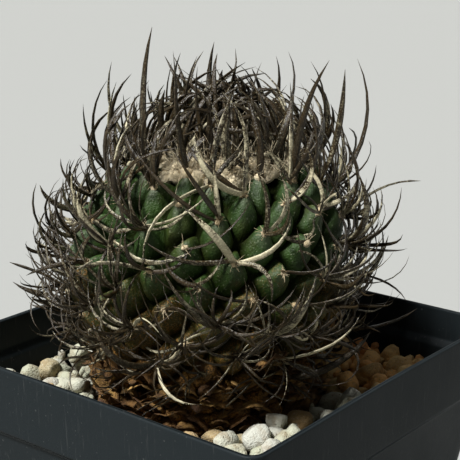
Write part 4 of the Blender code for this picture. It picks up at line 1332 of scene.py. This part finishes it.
class CACTUS_OT_spines(bpy.types.Operator):
    """Adds all the other spines, a few to each tubercle: erect and broad at the crown, arched on the
    flank, thin and tangled lower down"""

    bl_idname = "cactus.spines"
    bl_label = "Spines"

    # zone; share of the stem's height from and to; spines to a tubercle; length and width from and to, as
    # shares of the largest; lift from and to, sideways spread and curl from and to, in degrees; inward pull;
    # share that curl downwards; and the two powers that set how ashy they are
    zones = (
        ("crown", 0.93, 1.10, 5, 0.58, 1.04, 0.52, 0.92, 25, 65, 22, 45, 160, 0.9, 0.0, 0.40, 3.0),
        ("shoulder", 0.80, 0.93, 7, 0.45, 0.82, 0.42, 0.84, 5, 60, 38, 35, 115, 0.8, 0.0, 0.50, 1.8),
        ("flank", 0.58, 0.80, 10, 0.34, 0.70, 0.30, 0.64, -20, 55, 58, 55, 140, 0.75, 0.05, 0.50, 1.7),
        ("lower", 0.35, 0.58, 14, 0.34, 0.64, 0.24, 0.46, -30, 55, 66, 50, 150, 0.55, 0.14, 0.35, 2.4),
        ("foot", 0.24, 0.35, 5, 0.25, 0.50, 0.22, 0.38, -25, 50, 70, 20, 130, 0.2, 0.40, 0.40, 2.6),
    )
    # the outline that the tips keep to, in mm: heights above the pot's rim, and how far inside its sides
    heights = (-11, -6, 0, 9, 16, 31, 42, 53, 61)
    insets = (6.5, 5.5, 3.0, 0.5, 1.5, 8.0, 12.5, 17.5, 25.5)
    least_share = 0.45          # how far a path may be shrunk to keep to it
    # the open side: azimuth, degrees to each side, share of the height from and to, and share of spines kept
    window = (-44.0, 36.0, 0.52, 0.95, 0.22)
    tuft = 66                   # the spines that stand in the wool

    def execute(self, context):
        settings = context.scene.cactus_spines
        material = bpy.data.materials["Papery spines"]
        skin = StemSkin(context.scene.cactus_stem.tubercle)
        for index, zone in enumerate(self.zones):
            random = np.random.default_rng(settings.seed + 100 * index)
            self.add_zone(settings, skin, material, random, *zone)
        self.add_tuft(settings, skin, material, np.random.default_rng(settings.seed + 900))
        return {"FINISHED"}

    def add_zone(self, settings, skin, material, random, name, low, high, each, short, long, thin, broad,
                 lift_from, lift_to, spread, curl_from, curl_to, inward, down, ash_a, ash_b):
        numbers = np.repeat(skin.living(low, high), each)
        azimuth, spread_open, window_low, window_high, kept = self.window
        share = skin.share(numbers)
        inside = turn_from(skin.tips(numbers)[1], azimuth) < spread_open
        inside &= (share > window_low) & (share < window_high)
        numbers = numbers[~inside | (random.uniform(0, 1, len(numbers)) < kept)]
        count = len(numbers)
        root, out, up, round_way = skin.tips(numbers)
        shift = round_way * random.normal(0, 0.35, (count, 1)) + up * random.normal(0, 0.3, (count, 1))
        root = root + shift * MM
        lift = np.radians(random.uniform(lift_from, lift_to, (count, 1)))
        side = np.radians(random.normal(0, spread, (count, 1)))
        start = unit(np.cos(side) * (np.cos(lift) * out + np.sin(lift) * up) + np.sin(side) * round_way)
        radial = unit(out * (1, 1, 0))
        sideways = random.normal(0, 0.4, (count, 1)) + 0.25 * np.sign(side)
        target = UP - radial * inward + round_way * sideways + random.normal(0, 0.18, (count, 3))
        falls = random.uniform(0, 1, (count, 1)) < down
        target = np.where(falls, -UP * 0.8 + round_way * np.sign(side) + radial * 0.2, target)
        curl = np.radians(random.uniform(curl_from, curl_to, count))
        size = settings.longest * random.uniform(short, long, count)
        width = settings.width * random.uniform(thin, broad, count)
        paths = spine_paths(root, start, unit(target), size, curl, random.uniform(0.8, 2.0, count),
                            random.uniform(0.0, 0.22, count), random)
        paths = self.draw_in(paths)
        own = random.beta(ash_a, ash_b, count)
        add_spines(f"{name}_spines", paths, width, size, own, radial, skin, material, random)

    def draw_in(self, paths):
        """Shrinks the paths whose tips reach too far out, each about its own root."""
        reach = np.hypot(paths[..., 0], paths[..., 1])
        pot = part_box("pot")[1]
        allowed = pot.x - np.interp((paths[:, -1, 2] - pot.z) / MM, self.heights, self.insets) * MM
        share = (allowed - reach[:, 0]) / np.maximum(reach[:, -1] - reach[:, 0], 1e-6)
        share = np.where(reach[:, -1] > allowed, np.clip(share, self.least_share, 1), 1)[:, None, None]
        return paths[:, :1] + (paths - paths[:, :1]) * share

    def add_tuft(self, settings, skin, material, random):
        """The young spines that stand in the wool in the middle of the crown, leaning in over it."""
        count = self.tuft
        low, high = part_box("crown_wool")
        reach = np.sqrt(random.uniform(0.05, 1, count)) * (high.x - low.x) / 2 * 1.15
        turn = random.uniform(0, 2 * math.pi, count)
        radial = outward(turn)
        centre = np.array([(low.x + high.x) / 2, (low.y + high.y) / 2, low.z])
        root = centre + radial * reach[:, None]
        start = unit(UP + radial * random.uniform(-0.1, 0.4, (count, 1)) + random.normal(0, 0.11, (count, 3)))
        target = -radial + random.normal(0, 0.45, (count, 3))
        curl = np.radians(random.uniform(30, 140, count))
        size = settings.longest * random.uniform(0.45, 0.88, count)
        width = settings.width * random.uniform(0.70, 1.08, count)
        paths = spine_paths(root, start, unit(target), size, curl, random.uniform(0.8, 2.0, count),
                            random.uniform(0, 0.16, count), random)
        own = random.beta(0.5, 2.2, count)
        add_spines("tuft_spines", paths, width, size, own, radial, skin, material, random)


# ---- Stage -------------------------------------------------------------------------------------


class CACTUS_OT_stage(bpy.types.Operator):
    """Adds the camera, the soft lights, and a pale floor that curves up into a wall"""

    bl_idname = "cactus.stage"
    bl_label = "Stage"

    def execute(self, context):
        settings = context.scene.cactus_stage
        turn, tilt = settings.azimuth, settings.elevation
        back = Vector((math.sin(turn) * math.cos(tilt), -math.cos(turn) * math.cos(tilt), math.sin(tilt)))
        right = Vector((math.cos(turn), math.sin(turn), 0))
        above = back.cross(right)
        low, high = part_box("pot")
        rim = Vector(((low.x + high.x) / 2, (low.y + high.y) / 2, high.z))
        self.add_camera(context, settings, rim, back, right, above)
        self.add_lights(context, rim, back, right)
        self.add_floor(settings, low.z)
        return {"FINISHED"}

    def add_camera(self, context, settings, rim, back, right, above):
        camera = bpy.data.cameras.new("Camera")
        camera.sensor_width = 36.0
        camera.lens = settings.lens
        camera.clip_start = 0.01
        holder = bpy.data.objects.new("Camera", camera)
        context.scene.collection.objects.link(holder)
        cos, sin = math.cos(settings.roll), math.sin(settings.roll)
        across = right * cos + above * sin
        over = above * cos - right * sin
        turned = Matrix((across, over, back)).transposed().to_4x4()
        place = rim + back * settings.distance + right * settings.right + above * settings.above
        holder.matrix_world = Matrix.Translation(place) @ turned
        context.scene.camera = holder

    def add_lights(self, context, rim, back, right):
        """A soft sun from the upper left, and a weak even sky."""
        flat = Vector((back.x, back.y, 0)).normalized()
        key = bpy.data.lights.new("Key", "SUN")
        key.energy = 7.4
        key.angle = math.radians(11.0)
        key_holder = bpy.data.objects.new("Key", key)
        context.scene.collection.objects.link(key_holder)
        towards = flat * 0.34 - right * 0.56 + Vector((0, 0, 1.0))
        key_holder.location = rim + towards
        key_holder.rotation_euler = towards.to_track_quat("Z", "Y").to_euler()
        world = bpy.data.worlds.new("Studio")
        world.use_nodes = True
        sky = world.node_tree.nodes["Background"]
        sky.inputs["Color"].default_value = (0.97, 0.99, 1.0, 1.0)
        sky.inputs["Strength"].default_value = 0.10
        context.scene.world = world
        context.scene.view_settings.view_transform = "Standard"

    def add_floor(self, settings, base):
        """A wide floor whose far side bends up in a quarter circle and goes on as a wall, on every side."""
        turn = 2 * math.pi * np.arange(96) / 96
        bend = np.linspace(0, math.pi / 2, 12)
        flat, curve, tall = 9.0, 2.0, 3.0
        reach = np.concatenate([[0.6, 3.0], flat + curve * np.sin(bend), [flat + curve]])
        height = np.concatenate([[0.0, 0.0], curve * (1 - np.cos(bend)), [curve + tall]])
        rings = np.stack([reach[:, None] * np.cos(turn), reach[:, None] * np.sin(turn),
                          np.broadcast_to(height[:, None], (len(height), 96))], -1).reshape(-1, 3)
        faces = [f for f in capped_faces(1, len(reach), 96) if len(f) == 4 or len(rings) in f]
        mesh = bpy.data.meshes.new("floor")
        points = np.vstack([rings, [0, 0, 0]]) + (0, 0, base)
        mesh.from_pydata(points.tolist(), [], [f[::-1] for f in faces])
        mesh.materials.append(floor_material(settings))
        mesh.shade_smooth()
        obj = bpy.data.objects.new("floor", mesh)
        bpy.context.scene.collection.objects.link(obj)


# ---- Add-on ------------------------------------------------------------------------------------

OPERATORS = (
    CACTUS_OT_pot, CACTUS_OT_soil, CACTUS_OT_stones, CACTUS_OT_stem, CACTUS_OT_scales, CACTUS_OT_wool,
    CACTUS_OT_long_spines, CACTUS_OT_front_spines, CACTUS_OT_spines, CACTUS_OT_stage,
)
SETTINGS = {
    "cactus_pot": CactusPotSettings, "cactus_stem": CactusStemSettings, "cactus_spines": CactusSpineSettings,
    "cactus_stones": CactusStoneSettings, "cactus_stage": CactusStageSettings,
}


class CACTUS_PT_panel(bpy.types.Panel):
    """Lists the settings and the operators in the order in which they run"""

    bl_idname = "CACTUS_PT_panel"
    bl_label = "Potted cactus"
    bl_space_type = "VIEW_3D"
    bl_region_type = "UI"
    bl_category = "Cactus"

    def draw(self, context):
        for name, group in SETTINGS.items():
            box = self.layout.box()
            for key in group.__annotations__:
                box.prop(getattr(context.scene, name), key)
        for operator in OPERATORS:
            self.layout.operator(operator.bl_idname)


def register():
    for name, group in SETTINGS.items():
        bpy.utils.register_class(group)
        setattr(bpy.types.Scene, name, PointerProperty(type=group))
    for operator in OPERATORS:
        bpy.utils.register_class(operator)
    bpy.utils.register_class(CACTUS_PT_panel)


def unregister():
    bpy.utils.unregister_class(CACTUS_PT_panel)
    for operator in reversed(OPERATORS):
        bpy.utils.unregister_class(operator)
    for name, group in reversed(SETTINGS.items()):
        delattr(bpy.types.Scene, name)
        bpy.utils.unregister_class(group)


def main():
    register()
    for operator in OPERATORS:
        area, name = operator.bl_idname.split(".")
        getattr(getattr(bpy.ops, area), name)()


if __name__ == "__main__":
    main()
